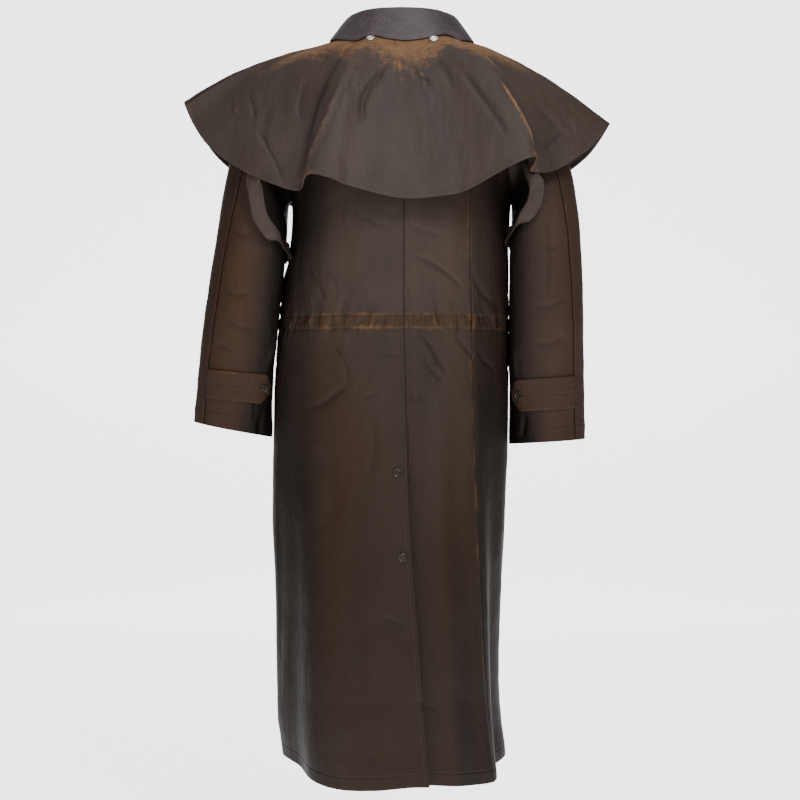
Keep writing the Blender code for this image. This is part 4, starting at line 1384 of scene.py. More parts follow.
@dataclass
class Collar:
    """The leather fall, which turns down over the cape, and its stand."""

    body: BodyForm
    cape: Cape
    leather: bpy.types.Material
    cloth: bpy.types.Material
    top_half_width: float = 0.0915
    top_back: float = 0.084
    top_front: float = 0.098
    top_back_z: float = 0.0490
    top_front_z: float = -0.012
    edge_half_width: float = 0.1270
    edge_back: float = 0.1060
    edge_front: float = 0.1400
    edge_lift: float = 0.0034
    open_deg: float = 7.0
    stand_lift: float = 0.0007
    edges: dict[float, Vector] = field(default_factory=dict)

    def top(self, deg: float) -> Vector:
        """The line over which the fall rolls.

        Args:
            deg: degrees round the coat.

        Returns:
            The point.
        """
        c, s = math.cos(math.radians(deg)), math.sin(math.radians(deg))
        z = mix(self.top_back_z, self.top_back_z if s > 0 else self.top_front_z, abs(s) ** 1.6)
        reach = self.top_back if s > 0 else self.top_front
        return Vector((self.body.neck_x + self.top_half_width * c, reach * s, z))

    def edge(self, deg: float) -> Vector:
        """The fall's lower edge, which lies on the cape.

        Args:
            deg: degrees round the coat.

        Returns:
            The point.
        """
        if deg not in self.edges:
            at = self.cape.row(deg)
            c, s = math.cos(math.radians(deg)), math.sin(math.radians(deg))
            reach = self.edge_back if s > 0 else self.edge_front
            wanted = 1.0 / math.hypot(c / self.edge_half_width, s / reach)
            down = self.cape.down(at, wanted, lambda p: math.hypot(p.x - self.body.neck_x, p.y))
            lift = normal_of(self.cape.point, at, down, -1.0) * self.edge_lift
            self.edges[deg] = self.cape.point(at, down) + lift
        return self.edges[deg]

    def fall(self, deg: float, down: float) -> Vector:
        """The fall: it rolls over the top line and spreads to its edge.

        Args:
            deg: degrees round the coat.
            down: 0 at the top line to 1 at the edge.

        Returns:
            The point.
        """
        top, edge = self.top(deg), self.edge(deg)
        out = Vector((edge.x - top.x, edge.y - top.y, 0.0))
        lift = Vector((0.0, 0.0, 0.003))
        first = top + out.normalized() * 0.006 + lift
        middle = top.lerp(edge, 0.45) + lift
        keep = 1 - down
        return (top * keep ** 3 + first * 3 * keep * keep * down
                + middle * 3 * keep * down * down + edge * down ** 3)

    def stand(self, deg: float, down: float) -> Vector:
        """The stand, from just under the fall's top line to the neckline.

        Args:
            deg: degrees round the coat.
            down: 0 at the top to 1 at the neckline.

        Returns:
            The point.
        """
        top = self.top(deg)
        inward = Vector((self.body.neck_x - top.x, -top.y, 0.0)).normalized()
        start = top + inward * 0.0040 + Vector((0.0, 0.0, -0.0035))
        end = self.body.neck_point(deg) + Vector((0.0, 0.0, self.stand_lift))
        return start.lerp(end, down)

    def build(self) -> None:
        """Builds the fall and the stand."""
        span = (-90.0 + self.open_deg, 270.0 - self.open_deg)
        edges = tuple(Seam(edge, band=1.6, raised=-0.5, wear=0.5, wear_width=2.4)
                      for edge in (Edge.FIRST, Edge.LAST, Edge.HEM))
        ripples = Relief(ripples=[Ripple(0.045, 1.0), Ripple(0.016, 0.35)])
        Sheet("collar_fall", self.fall, span, [0.0, 0.5, 1.0], -1.0, LEATHER, self.leather, "collar",
              spacing=0.0024, relief=ripples, seams=edges, held="folded",
              rests_on=("collar_stand", "cape_back"), suffix="leather").build()
        Sheet("collar_stand", self.stand, span, [0.0, 0.5, 1.0], -1.0, CLOTH, self.cloth,
              spacing=0.0036, held="folded", rests_on=("back_left", "back_right")).build()


@dataclass
class Strap:
    """A flat loop of cloth that hangs from the cape's underside and passes under an arm."""

    side: float
    word: str
    cape: Cape
    finish: bpy.types.Material
    back_row: float
    front_row: float
    free: Rows
    width: float = 0.026
    cape_down: float = 0.86
    line: Rows = ()

    def __post_init__(self) -> None:
        """Joins the two sewn ends and the free part into one line."""
        ends = [self.sewn_end(at) for at in (self.back_row, self.front_row)]
        free = tuple((self.side * x, y, z, a, b, self.side * c) for x, y, z, a, b, c in self.free)
        self.line = tuple(ends[0]) + free + tuple(ends[1][::-1])

    def sewn_end(self, at: float) -> list[tuple[float, ...]]:
        """The two rows of the line that lie inside the cape at one end.

        Args:
            at: row number, whole or in part.

        Returns:
            Two rows of the line.
        """
        made = []
        for down, under in ((self.cape_down, CLOTH / 2 + SEAM_GAP * 3), (1.0, CLOTH * 2.5)):
            normal = normal_of(self.cape.point, at, down, -1.0)
            point = self.cape.point(at, down) - normal * (CLOTH + under)
            across = self.cape.point(at + 0.1, down) - self.cape.point(at - 0.1, down)
            across.normalize()
            across = across if across.x > 0 else -across
            made.append((*point, *across))
        return made

    def surface(self, share: float, at: float) -> Vector:
        """The strap's outer side: share across it, and a row number along it.

        Args:
            share: 0 to 1 across the piece.
            at: row number, whole or in part.

        Returns:
            The point.
        """
        values = spline(self.line, at)
        before, after = spline(self.line, at - 0.05), spline(self.line, at + 0.05)
        along = Vector([b - a for a, b in zip(before[:3], after[:3])]).normalized()
        across = Vector(values[3:])
        across = (across - along * across.dot(along)).normalized()
        face = across.cross(along).normalized() * CLOTH / 2
        return Vector(values[:3]) + across * self.width * (share - 0.5) + face

    def build(self) -> None:
        """Builds the strap."""
        edges = tuple(Seam(edge, band=1.4, raised=-0.4, wear=0.35, wear_width=2.0)
                      for edge in (Edge.FIRST, Edge.LAST))
        last = len(self.line) - 1.0
        Sheet(f"cape_strap_{self.word}", self.surface, (0.0, 1.0), [0.0, last / 2, last], 1.0, CLOTH,
              self.finish, spacing=0.0030, seams=edges, relief=Relief(ripples=[Ripple(0.05, 0.25)]),
              rests_on=("cape_back", f"cape_front_{self.word}")).build()


@dataclass
class Snaps:
    """Turned snap caps on the cape, the vent, the cuffs and the front."""

    body: BodyForm
    cape: Cape
    sleeves: dict[str, Sleeve]
    bright: bpy.types.Material
    aged: bpy.types.Material
    body_relief: Relief
    cape_relief: Relief
    radius: float = 0.0080
    turns: int = 56
    vent_z: tuple[float, ...] = (-0.741, -0.878)
    vent_in: float = 0.016
    first_down: float = 0.30
    front_z: tuple[float, ...] = (-0.300, -0.460, -0.620, -0.780, -0.940)
    cape_places: tuple[tuple[str, float, float], ...] = (
        ("left", 0.0495, -0.0105), ("right", -0.0575, -0.0105))
    # The cap from its middle to its rim: share of the radius, height in millimetres
    profile: Rows = (
        (0.00, 1.95), (0.16, 1.92), (0.34, 1.78), (0.43, 1.55), (0.47, 1.50), (0.52, 1.62), (0.57, 2.15),
        (0.64, 2.52), (0.74, 2.62), (0.84, 2.60), (0.92, 2.40), (0.97, 2.05), (1.00, 1.50), (1.00, 0.55),
        (0.97, 0.15), (0.92, 0.0), (0.00, 0.0),
    )

    def cap(self, node: str, surface: Surface, u: float, v: float, outward: float, lift: float,
            finish: bpy.types.Material, relief: Relief | None) -> None:
        """Builds one cap that stands on a surface, lift above it.

        Args:
            node: the solid's name.
            surface: gives a point for two numbers.
            u: first number of the place.
            v: second number of the place.
            outward: 1 or -1.
            lift: metres above.
            finish: the material.
            relief: the cloth's relief, or None.
        """
        point, normal = surface(u, v), normal_of(surface, u, v, outward)
        if relief is not None:
            height, _ = relief.apply(np.array([point]), np.array([normal]))
            lift += float(height[0])
        turn = normal.to_track_quat("Z", "Y")
        rings = self.profile[1:-1]
        points = [point + normal * (lift + self.profile[0][1] * MM)]
        for share, height in rings:
            for i in range(self.turns):
                angle = math.tau * i / self.turns
                flat = Vector((math.cos(angle), math.sin(angle), 0.0)) * share * self.radius
                points.append(point + normal * lift + turn @ (flat + Vector((0.0, 0.0, height * MM))))
        points.append(point + normal * lift)
        faces = []
        last = len(points) - 1
        for i in range(self.turns):
            j = (i + 1) % self.turns
            faces.append((0, 1 + i, 1 + j))
            for r in range(len(rings) - 1):
                a, b = 1 + r * self.turns, 1 + (r + 1) * self.turns
                faces.append((a + i, b + i, b + j, a + j))
            low = 1 + (len(rings) - 1) * self.turns
            faces.append((low + j, low + i, last))
        mesh = bpy.data.meshes.new(f"{node}_cap")
        mesh.from_pydata([tuple(p) for p in points], [], faces)
        mesh.shade_smooth()
        mesh.set_sharp_from_angle(angle=math.radians(65))
        mesh.materials.append(finish)
        thing = bpy.data.objects.new(f"{node}_cap", mesh)
        bpy.context.scene.collection.objects.link(thing)
        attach(thing, "root")
        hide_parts(node)
        LOG.info("%s_cap: snap", node)

    def build(self) -> None:
        """Builds every cap."""
        form, gap = self.body, SEAM_GAP
        for i, z in enumerate(self.vent_z):
            down = form.down_at(z)
            deg = form.seam_deg(2, down)
            deg -= form.degrees_for(self.vent_in, deg, down)
            self.cap(f"vent_snap_{i + 1}", form.point, deg, down, -1.0, gap, self.aged, self.body_relief)
        for i, down in enumerate([self.first_down] + [form.down_at(z) for z in self.front_z]):
            self.cap(f"front_snap_{i + 1}", form.point, -90.0, down, -1.0, gap + 0.5 * MM, self.aged,
                     self.body_relief)
        for word, x, z in self.cape_places:
            at = self.cape.row(math.degrees(math.atan2(0.10, x - form.neck_x)))
            for _ in range(8):
                down = self.cape.down(at, -z, lambda p: -p.z)
                at += (self.cape.point(at, down).x - x) / 0.02 * 0.5
            self.cap(f"cape_snap_{word}", self.cape.point, at, down, -1.0, gap, self.bright,
                     self.cape_relief)
        for word, sleeve in self.sleeves.items():
            middle = 1.0 + sum(sleeve.tab_ring) / 2
            deg = sleeve.tab_tip_deg - sleeve.tab_point_deg * 0.9
            lift = sleeve.tab_lift + CLOTH + gap * 2
            self.cap(f"cuff_snap_{word}", sleeve.tube, deg, middle, -sleeve.side, lift, self.aged,
                     sleeve.relief)


@dataclass(frozen=True)
class Stitch:
    """A row of stitches beside an edge: how far in, and how long one stitch is, in millimetres."""

    edge: Edge
    inset: float
    pitch: float = 3.4


@dataclass(frozen=True)
class Oilskin:
    """Waxed cotton: dark and smooth where the wax is whole, tan where it has rubbed off. Its colour also
    holds painted shade in crease troughs, stitch grooves, seam lines, towards the hem and where the cloth
    faces sideways or towards the body.
    """

    name: str
    deep: Colour
    light: Colour
    russet: Colour
    worn: Colour
    stitches: tuple[Stitch, ...] = ()
    waist: bool = False
    roughness: float = 0.62
    thread: float = 0.28
    # Painted shade: the share of the deep colour used towards the hem.
    painted_low_shade: Colour = (0.64, 0.47, 0.37)

    def sewing(self, graph: Graph) -> tuple[Value, Value]:
        """Where thread shows and where it draws the cloth in, both 0 to 1.

        Args:
            graph: the material's nodes.

        Returns:
            Thread and groove.
        """
        thread, groove = graph.maths("ADD", 0.0, 0.0), graph.maths("ADD", 0.0, 0.0)
        rows = [(abs(graph.attribute(row.edge.value) - row.inset * MM), row.edge.along, row.pitch)
                for row in self.stitches]
        if self.waist:
            split = graph.node("ShaderNodeSeparateXYZ", {}, {0: graph.place()})
            height = Value(graph, split.outputs["Z"])
            rows.append((abs(abs(height - Body.waist_z) - Body.waist_half), Edge.FIRST, Stitch.pitch))
        for off, along, pitch in rows:
            dash = (graph.attribute(along.value) * (math.tau / (pitch * MM))).sine().over(-0.55, 0.1)
            thread = thread.largest(off.over(0.75 * MM, 0.25 * MM) * dash)
            groove = groove.largest(off.over(3.0 * MM, 0.0))
        return thread, groove

    def material(self) -> bpy.types.Material:
        """Builds the finish.

        Returns:
            The material.
        """
        graph = Graph(self.name)
        place = graph.place()
        hanging = graph.place((1.0, 1.0, 0.22))
        broad = graph.noise(place, 5.5, 4.0, 0.55)
        cloudy = graph.noise(hanging, 16.0, 5.0, 0.6)
        grain = graph.noise(place, 520.0, 2.0, 0.6)
        rub = graph.noise(place, 85.0, 5.0, 0.65)
        speck = graph.noise(place, 210.0, 2.0, 0.5)
        thread, groove = self.sewing(graph)
        tone = broad * 0.45 + cloudy * 0.40 + grain * 0.35
        colour = graph.blend(tone.over(0.34, 0.80), self.deep, self.light)
        red = graph.noise(hanging, 7.0, 4.0, 0.6)
        split = graph.node("ShaderNodeSeparateXYZ", {}, {0: place})
        # low_down grows towards the hem: it makes the cloth redder there, and darker as painted shade for
        # light that falls off downwards.
        low_down = Value(graph, split.outputs["Z"]).over(-0.42, -0.95)
        russet = (red + speck * 0.12).over(0.46, 0.74) * 0.60 + low_down * 0.28
        colour = graph.blend(russet, colour, self.russet)
        # Painted shade: darker towards the hem.
        colour = graph.blend(low_down * 0.66, colour, tuple(
            c * share for c, share in zip(self.deep, self.painted_low_shade)))
        if self.waist:
            drawn = abs(Value(graph, split.outputs["Z"]) - Body.waist_z)
            colour = graph.blend(drawn.over(Body.waist_half * 1.2, Body.waist_half * 0.8) * 0.6, colour,
                                 self.russet)
        crest = graph.attribute("crest")
        trough, ridge = crest.over(-0.10, -1.40), crest.over(0.10, 1.40)
        # Painted shade: crease troughs are darkened in colour.
        colour = graph.blend(trough * 0.26, colour, tuple(c * 0.30 for c in self.deep))
        wear = graph.attribute("wear")
        worn = (wear * 0.95 + ridge * 0.30 + (rub - 0.5) * 1.05 + (speck - 0.5) * 0.35).over(0.26, 0.95)
        colour = graph.blend(worn * 0.85, colour, self.worn)
        stray = (rub * 0.6 + speck * 0.4).over(0.61, 0.74) * 0.30
        colour = graph.blend(stray, colour, self.worn)
        # Painted shade: the stitch grooves are darkened in colour.
        colour = graph.blend(groove * 0.18, colour, self.deep)
        colour = graph.blend(thread * self.thread, colour, tuple(c * 1.7 + 0.006 for c in self.light))
        # Painted shade: a thin dark line along the side edges, where the panels meet at their seams.
        first, last = (graph.attribute(edge.value) for edge in (Edge.FIRST, Edge.LAST))
        joint = first.over(1.7 * MM, 0.4 * MM).largest(last.over(1.7 * MM, 0.4 * MM))
        colour = graph.blend(joint * 0.75, colour, tuple(c * 0.22 for c in self.deep))
        # Painted shade: cloth that faces sideways or towards the body is darkened.
        colour = graph.blend(graph.attribute("waxed") * 0.94, colour, tuple(c * 0.12 for c in self.deep))
        inside = graph.attribute("inside")
        colour = graph.blend(inside * 0.65, colour, tuple(c * 0.55 for c in self.russet))
        crumple = abs(graph.noise(hanging, 34.0, 3.0, 0.55) - 0.5)
        crumple_fine = abs(graph.noise(place, 95.0, 2.0, 0.5) - 0.5)
        warp = (graph.attribute(Edge.FIRST.value) * (math.tau / (1.1 * MM))).sine()
        weft = (graph.attribute(Edge.TOP.value) * (math.tau / (0.9 * MM))).sine()
        height = (crumple * -3.4 * MM + crumple_fine * -0.90 * MM + warp * weft * 0.010 * MM
                  + grain * 0.05 * MM - groove * 0.55 * MM + thread * 0.20 * MM)
        rough = broad * 0.16 + grain * 0.10 + worn * 0.14 + (self.roughness - 0.15)
        return graph.dress({"Specular IOR Level": 0.14},
                           {"Base Color": colour, "Roughness": rough}, height)


@dataclass(frozen=True)
class CollarLeather:
    """Dark brown leather with a fine even grain and paler, rubbed edges."""

    name: str = "collar_leather"
    deep: Colour = (0.024, 0.0175, 0.0195)
    light: Colour = (0.056, 0.0425, 0.0465)
    worn: Colour = (0.110, 0.0740, 0.0610)

    def material(self) -> bpy.types.Material:
        """Builds the finish.

        Returns:
            The material.
        """
        graph = Graph(self.name)
        place = graph.place()
        broad = graph.noise(place, 24.0, 4.0, 0.6)
        fine = graph.noise(place, 260.0, 3.0, 0.6)
        cells = graph.node("ShaderNodeTexVoronoi", {"feature": "DISTANCE_TO_EDGE"},
                           {"Vector": place, "Scale": 620.0})
        grain = Value(graph, cells.outputs["Distance"])
        colour = graph.blend((broad * 0.6 + fine * 0.4).over(0.34, 0.68), self.deep, self.light)
        wear = graph.attribute("wear")
        worn = (wear + (broad - 0.5) * 0.9).over(0.30, 1.0)
        colour = graph.blend(worn * 0.6, colour, self.worn)
        thread, groove = graph.maths("ADD", 0.0, 0.0), graph.maths("ADD", 0.0, 0.0)
        for edge in (Edge.HEM, Edge.FIRST, Edge.LAST):
            off = abs(graph.attribute(edge.value) - 6.5 * MM)
            dash = (graph.attribute(edge.along.value) * (math.tau / (3.6 * MM))).sine().over(-0.5, 0.1)
            thread = thread.largest(off.over(0.8 * MM, 0.3 * MM) * dash)
            groove = groove.largest(off.over(2.4 * MM, 0.0))
        colour = graph.blend(thread * 0.6, colour, self.worn)
        height = grain.over(0.0, 0.35) * 0.10 * MM + fine * 0.10 * MM - groove * 0.35 * MM + (
            thread * 0.15 * MM)
        rough = broad * 0.22 + fine * 0.15 + 0.42
        return graph.dress({"Sheen Weight": 0.06, "Sheen Roughness": 0.35, "Specular IOR Level": 0.38},
                           {"Base Color": colour, "Roughness": rough}, height)


@dataclass(frozen=True)
class SnapMetal:
    """A snap's plating, bright or darkened with age."""

    name: str
    plating: Colour
    tarnish: Colour
    spread: tuple[float, float]
    roughness: float

    def material(self) -> bpy.types.Material:
        """Builds the finish.

        Returns:
            The material.
        """
        graph = Graph(self.name)
        place = graph.place()
        cloud = graph.noise(place, 320.0, 4.0, 0.6)
        scratch = graph.noise(graph.place((1.0, 1.0, 6.0)), 900.0, 3.0, 0.6)
        dark = (cloud * 0.7 + scratch * 0.3).over(*self.spread)
        colour = graph.blend(dark, self.plating, self.tarnish)
        height = cloud * 0.05 * MM + scratch * 0.02 * MM
        rough = dark * 0.25 + scratch * 0.12 + self.roughness
        return graph.dress({"Metallic": 1.0}, {"Base Color": colour, "Roughness": rough}, height)


@dataclass
class Studio:
    """A pale sweep, soft lights and the camera behind the coat."""

    camera_y: float = 2.6
    camera_z: float = -0.621
    lens: float = 66.42
    floor_z: float = -1.55
    back_y: float = -5.0
    bend: float = 1.2
    half_width: float = 2.5
    height: float = 2.0
    glow: float = 2.6
    world_light: float = 0.22
    # Soft lights: name, place, what it faces, side in metres, watts
    lamps: tuple[tuple[str, Colour, Colour, float, float], ...] = (
        ("key", (-0.8, 2.3, 1.5), (0.0, 0.0, -0.35), 0.8, 78.0),
        ("fill", (1.1, 2.6, 0.2), (0.0, 0.0, -0.55), 1.0, 14.0),
        ("top", (0.0, 0.3, 2.0), (0.0, 0.0, -0.55), 1.4, 18.0),
        ("front", (0.0, -2.0, 0.8), (0.0, 0.0, -0.55), 2.0, 12.0),
    )

    def sweep(self) -> None:
        """A floor that curves up into a backdrop."""
        line = [(8.0, self.floor_z), (self.back_y + self.bend, self.floor_z)]
        for i in range(1, 13):
            angle = math.radians(90.0 * i / 12)
            line.append((self.back_y + self.bend * (1 - math.sin(angle)),
                         self.floor_z + self.bend * (1 - math.cos(angle))))
        line.append((self.back_y, self.height))
        points = [(x, y, z) for y, z in line for x in (-self.half_width, self.half_width)]
        faces = [(2 * i, 2 * i + 1, 2 * i + 3, 2 * i + 2) for i in range(len(line) - 1)]
        mesh = bpy.data.meshes.new("backdrop")
        mesh.from_pydata(points, [], faces)
        mesh.shade_smooth()
        graph = Graph("backdrop_paper")
        fibre = graph.noise(graph.place(), 3.0, 3.0)
        colour = graph.blend(fibre, (0.86, 0.86, 0.86), (0.90, 0.90, 0.895))
        mesh.materials.append(graph.dress(
            {"Roughness": 0.9, "Emission Color": (1.0, 1.0, 1.0), "Emission Strength": self.glow},
            {"Base Color": colour}))
        thing = bpy.data.objects.new("backdrop", mesh)
        bpy.context.scene.collection.objects.link(thing)

    def lamp(self, name: str, place: Colour, target: Colour, size: float, power: float) -> None:
        """A square soft light that faces a target.

        Args:
            name: the light's name.
            place: where it stands.
            target: what it faces.
            size: its side in metres.
            power: watts.
        """
        light = bpy.data.lights.new(name, "AREA")
        light.shape = "SQUARE"
        light.size = size
        light.energy = power
        thing = bpy.data.objects.new(name, light)
        thing.location = place
        thing.rotation_euler = (Vector(target) - Vector(place)).to_track_quat("-Z", "Y").to_euler()
        bpy.context.scene.collection.objects.link(thing)

    def build(self) -> None:
        """Sets the stage."""
        self.sweep()
        world = bpy.data.worlds.new("studio")
        world.use_nodes = True
        world.node_tree.nodes["Background"].inputs["Color"].default_value = (1.0, 1.0, 1.0, 1.0)
        world.node_tree.nodes["Background"].inputs["Strength"].default_value = self.world_light
        bpy.context.scene.world = world
        for lamp in self.lamps:
            self.lamp(*lamp)
        camera = bpy.data.cameras.new("camera")
        camera.lens = self.lens
        camera.sensor_width = 36.0
        camera.clip_start, camera.clip_end = 0.05, 40.0
        thing = bpy.data.objects.new("camera", camera)
        thing.location = (0.0, self.camera_y, self.camera_z)
        thing.rotation_euler = (math.pi / 2, 0.0, math.pi)
        bpy.context.scene.collection.objects.link(thing)
        bpy.context.scene.camera = thing


def creases(face: Face, rows: tuple) -> list[Crease]:
    """The creases of one face from a table.

    Args:
        face: the side from which the places are read.
        rows: width and height in mm, lean, wear, and places (across, z) in metres.

    Returns:
        One crease a row.
    """
    return [Crease(face, points, *sizes) for *sizes, points in rows]


# Creases of the back and the skirt, read from behind: width, height, lean, wear, places
BACK_CREASES = creases(Face.BACK, (
    (4.5, -1.8, 1.2, 0.2, ((-0.022, -0.382), (-0.053, -0.395), (-0.083, -0.414), (-0.105, -0.435))),
    (5.2, -1.6, -0.9, 0.1, ((0.161, -0.392), (0.136, -0.427), (0.125, -0.455))),
    (4.5, -1.1, 0.6, 0.0, ((0.136, -0.392), (0.116, -0.419), (0.105, -0.455))),
    (4.5, -2.0, 1.1, 0.25, ((-0.030, -0.505), (-0.050, -0.530), (-0.066, -0.558), (-0.083, -0.580))),
    (3.9, -1.3, 0.7, 0.1, ((-0.040, -0.558), (-0.056, -0.575), (-0.076, -0.596))),
    (3.2, -1.1, 0.5, 0.1, ((0.044, -0.541), (0.016, -0.549), (-0.004, -0.547))),
    (5.9, -1.8, 1.0, 0.15, ((0.166, -0.641), (0.133, -0.631), (0.108, -0.614), (0.083, -0.591))),
    (4.5, -1.5, 0.9, 0.2, ((-0.091, -0.513), (-0.113, -0.538), (-0.126, -0.558))),
    (4.5, -1.6, 0.9, 0.2, ((-0.130, -0.535), (-0.146, -0.558), (-0.163, -0.575))),
    (3.9, -1.0, 0.6, 0.0, ((0.066, -0.624), (0.046, -0.614), (0.020, -0.604))),
    (3.2, -1.3, 0.6, 0.1, ((-0.012, -0.606), (-0.026, -0.626), (-0.041, -0.606))),
    (5.9, -1.8, 1.4, 0.15, ((0.033, -0.976), (0.010, -0.984), (-0.008, -0.996))),
    (4.5, -1.3, 0.8, 0.1, ((-0.027, -1.102), (-0.042, -1.119), (-0.062, -1.126))),
    (13, -3.4, 0.0, 0.0, ((-0.139, -0.290), (-0.141, -0.455), (-0.137, -0.690))),
    (3.9, -0.8, 0.5, 0.0, ((-0.010, -0.330), (-0.040, -0.343), (-0.075, -0.346))),
    (4.5, -0.9, 0.5, 0.0, ((0.070, -0.310), (0.040, -0.330), (0.012, -0.336))),
    (5.2, -1.6, 0.9, 0.1, ((-0.115, -0.400), (-0.140, -0.440), (-0.168, -0.465))),
    (5.9, -1.2, 0.8, 0.0, ((0.120, -0.520), (0.095, -0.560), (0.088, -0.600))),
    (3.9, -0.9, 0.4, 0.0, ((-0.060, -0.520), (-0.062, -0.560), (-0.040, -0.600))),
    (14, -2.0, 0.8, 0.0, ((0.150, -0.700), (0.120, -0.760), (0.116, -0.850))),
    (16, -2.0, 1.0, 0.0, ((-0.100, -0.680), (-0.085, -0.780), (-0.092, -0.900))),
    (20, -2.2, 0.6, 0.0, ((0.090, -0.860), (0.070, -1.000), (0.075, -1.180))),
    (17, -2.2, 0.6, 0.0, ((-0.110, -0.960), (-0.100, -1.080), (-0.115, -1.200))),
    (7.8, -1.3, 0.7, 0.0, ((0.055, -0.640), (0.045, -0.700), (0.060, -0.760))),
))
# The same kind of creases on the front and at the sides
FRONT_CREASES = creases(Face.FRONT, (
    (4.5, -1.7, 1.0, 0.2, ((0.040, -0.395), (0.080, -0.410), (0.120, -0.440))),
    (5.2, -1.8, -1.0, 0.2, ((-0.060, -0.385), (-0.095, -0.405), (-0.125, -0.445))),
    (4.5, -1.6, 0.9, 0.2, ((0.060, -0.515), (0.085, -0.545), (0.100, -0.590))),
    (4.5, -1.6, 0.9, 0.15, ((-0.050, -0.515), (-0.085, -0.540), (-0.120, -0.560))),
    (5.9, -1.8, 1.0, 0.1, ((0.150, -0.620), (0.110, -0.650), (0.075, -0.660))),
    (5.9, -1.7, 1.0, 0.1, ((-0.140, -0.600), (-0.105, -0.640), (-0.090, -0.700))),
    (17, -2.4, 0.8, 0.0, ((0.085, -0.720), (0.075, -0.860), (0.090, -1.050))),
    (16, -2.3, 0.8, 0.0, ((-0.090, -0.760), (-0.100, -0.900), (-0.085, -1.080))),
    (18, -2.6, 0.6, 0.0, ((0.150, -0.880), (0.160, -1.000), (0.150, -1.180))),
    (18, -2.6, 0.6, 0.0, ((-0.150, -0.900), (-0.158, -1.020), (-0.150, -1.190))),
    (5.9, -1.5, 1.0, 0.1, ((-0.040, -0.950), (-0.075, -0.975), (-0.110, -0.965))),
)) + creases(Face.LEFT, (
    (18, 2.6, 0.0, 0.0, ((0.000, -0.385), (0.002, -0.430), (0.000, -0.480))),
    (5.2, -1.7, 1.0, 0.15, ((0.060, -0.420), (0.020, -0.450), (-0.030, -0.460))),
    (5.2, -1.7, 1.0, 0.15, ((0.050, -0.520), (0.010, -0.560), (-0.050, -0.575))),
    (16, -2.4, 0.8, 0.0, ((-0.060, -0.700), (-0.050, -0.860), (-0.062, -1.050))),
    (15, -2.4, 0.8, 0.0, ((0.070, -0.760), (0.080, -0.930), (0.074, -1.150))),
)) + creases(Face.RIGHT, (
    (5.2, -1.7, 1.0, 0.15, ((0.050, -0.410), (0.010, -0.440), (-0.045, -0.445))),
    (5.2, -1.7, 1.0, 0.15, ((0.060, -0.530), (0.020, -0.565), (-0.030, -0.570))),
    (16, -2.4, 0.8, 0.0, ((-0.050, -0.720), (-0.065, -0.900), (-0.050, -1.100))),
))
CAPE_CREASES = creases(Face.BACK, (
    (5.2, 2.6, 0.0, 0.12, ((0.085, -0.057), (0.116, -0.150), (0.141, -0.209), (0.155, -0.243))),
    (3.9, 2.2, 0.0, 0.50, ((-0.156, -0.078), (-0.182, -0.128), (-0.207, -0.177), (-0.224, -0.222))),
    (6.5, -2.6, -1.2, 0.1, ((-0.094, -0.056), (-0.128, -0.111), (-0.160, -0.161), (-0.181, -0.198))),
    (5.9, -2.8, 1.6, 0.0, ((0.020, -0.047), (0.036, -0.079), (0.057, -0.111),
                           (0.064, -0.140), (0.062, -0.174))),
    (5.2, 1.4, 0.0, 0.3, ((0.000, -0.045), (0.000, -0.075), (-0.004, -0.110))),
    (3.9, -2.0, 1.3, 0.1, ((-0.020, -0.060), (-0.030, -0.086), (-0.043, -0.090), (-0.052, -0.112))),
    (5.2, -1.8, 1.0, 0.1, ((-0.055, -0.045), (-0.075, -0.075), (-0.086, -0.110))),
    (5.9, -1.6, 1.0, 0.1, ((0.062, -0.050), (0.080, -0.085), (0.086, -0.120))),
    (3.9, -2.0, 1.2, 0.1, ((0.247, -0.155), (0.214, -0.215), (0.193, -0.262))),
    (4.5, -1.7, 1.0, 0.0, ((0.262, -0.095), (0.252, -0.122), (0.247, -0.150))),
    (5.2, 1.6, 0.0, 0.15, ((0.286, -0.095), (0.279, -0.135))),
    (7.2, -1.8, 1.0, 0.0, ((0.160, -0.075), (0.170, -0.120), (0.168, -0.160))),
    (7.8, -1.6, 0.8, 0.0, ((0.222, -0.120), (0.232, -0.160), (0.228, -0.200))),
    (4.5, -1.4, 1.2, 0.1, ((-0.280, -0.158), (-0.242, -0.197))),
    (7.8, -1.6, 0.8, 0.2, ((-0.225, -0.110), (-0.262, -0.150), (-0.290, -0.180))),
    (14, -1.2, 0.5, 0.0, ((-0.020, -0.190), (-0.030, -0.240), (-0.028, -0.280))),
    (7.8, -1.3, 0.6, 0.0, ((0.100, -0.215), (0.090, -0.250), (0.094, -0.285))),
)) + creases(Face.FRONT, (
    (5.9, -2.2, 1.2, 0.1, ((0.075, -0.070), (0.105, -0.130), (0.128, -0.200))),
    (5.9, -2.2, 1.2, 0.1, ((-0.080, -0.075), (-0.105, -0.140), (-0.135, -0.215))),
    (5.2, 1.8, 0.0, 0.35, ((0.150, -0.085), (0.175, -0.140), (0.200, -0.200))),
    (5.2, 1.8, 0.0, 0.35, ((-0.155, -0.090), (-0.185, -0.145), (-0.205, -0.205))),
    (6.5, -1.8, 0.9, 0.0, ((0.040, -0.120), (0.060, -0.180), (0.064, -0.250))),
    (6.5, -1.8, 0.9, 0.0, ((-0.045, -0.130), (-0.062, -0.190), (-0.060, -0.255))),
    (5.2, -1.8, 1.0, 0.0, ((0.262, -0.110), (0.250, -0.150), (0.246, -0.180))),
))
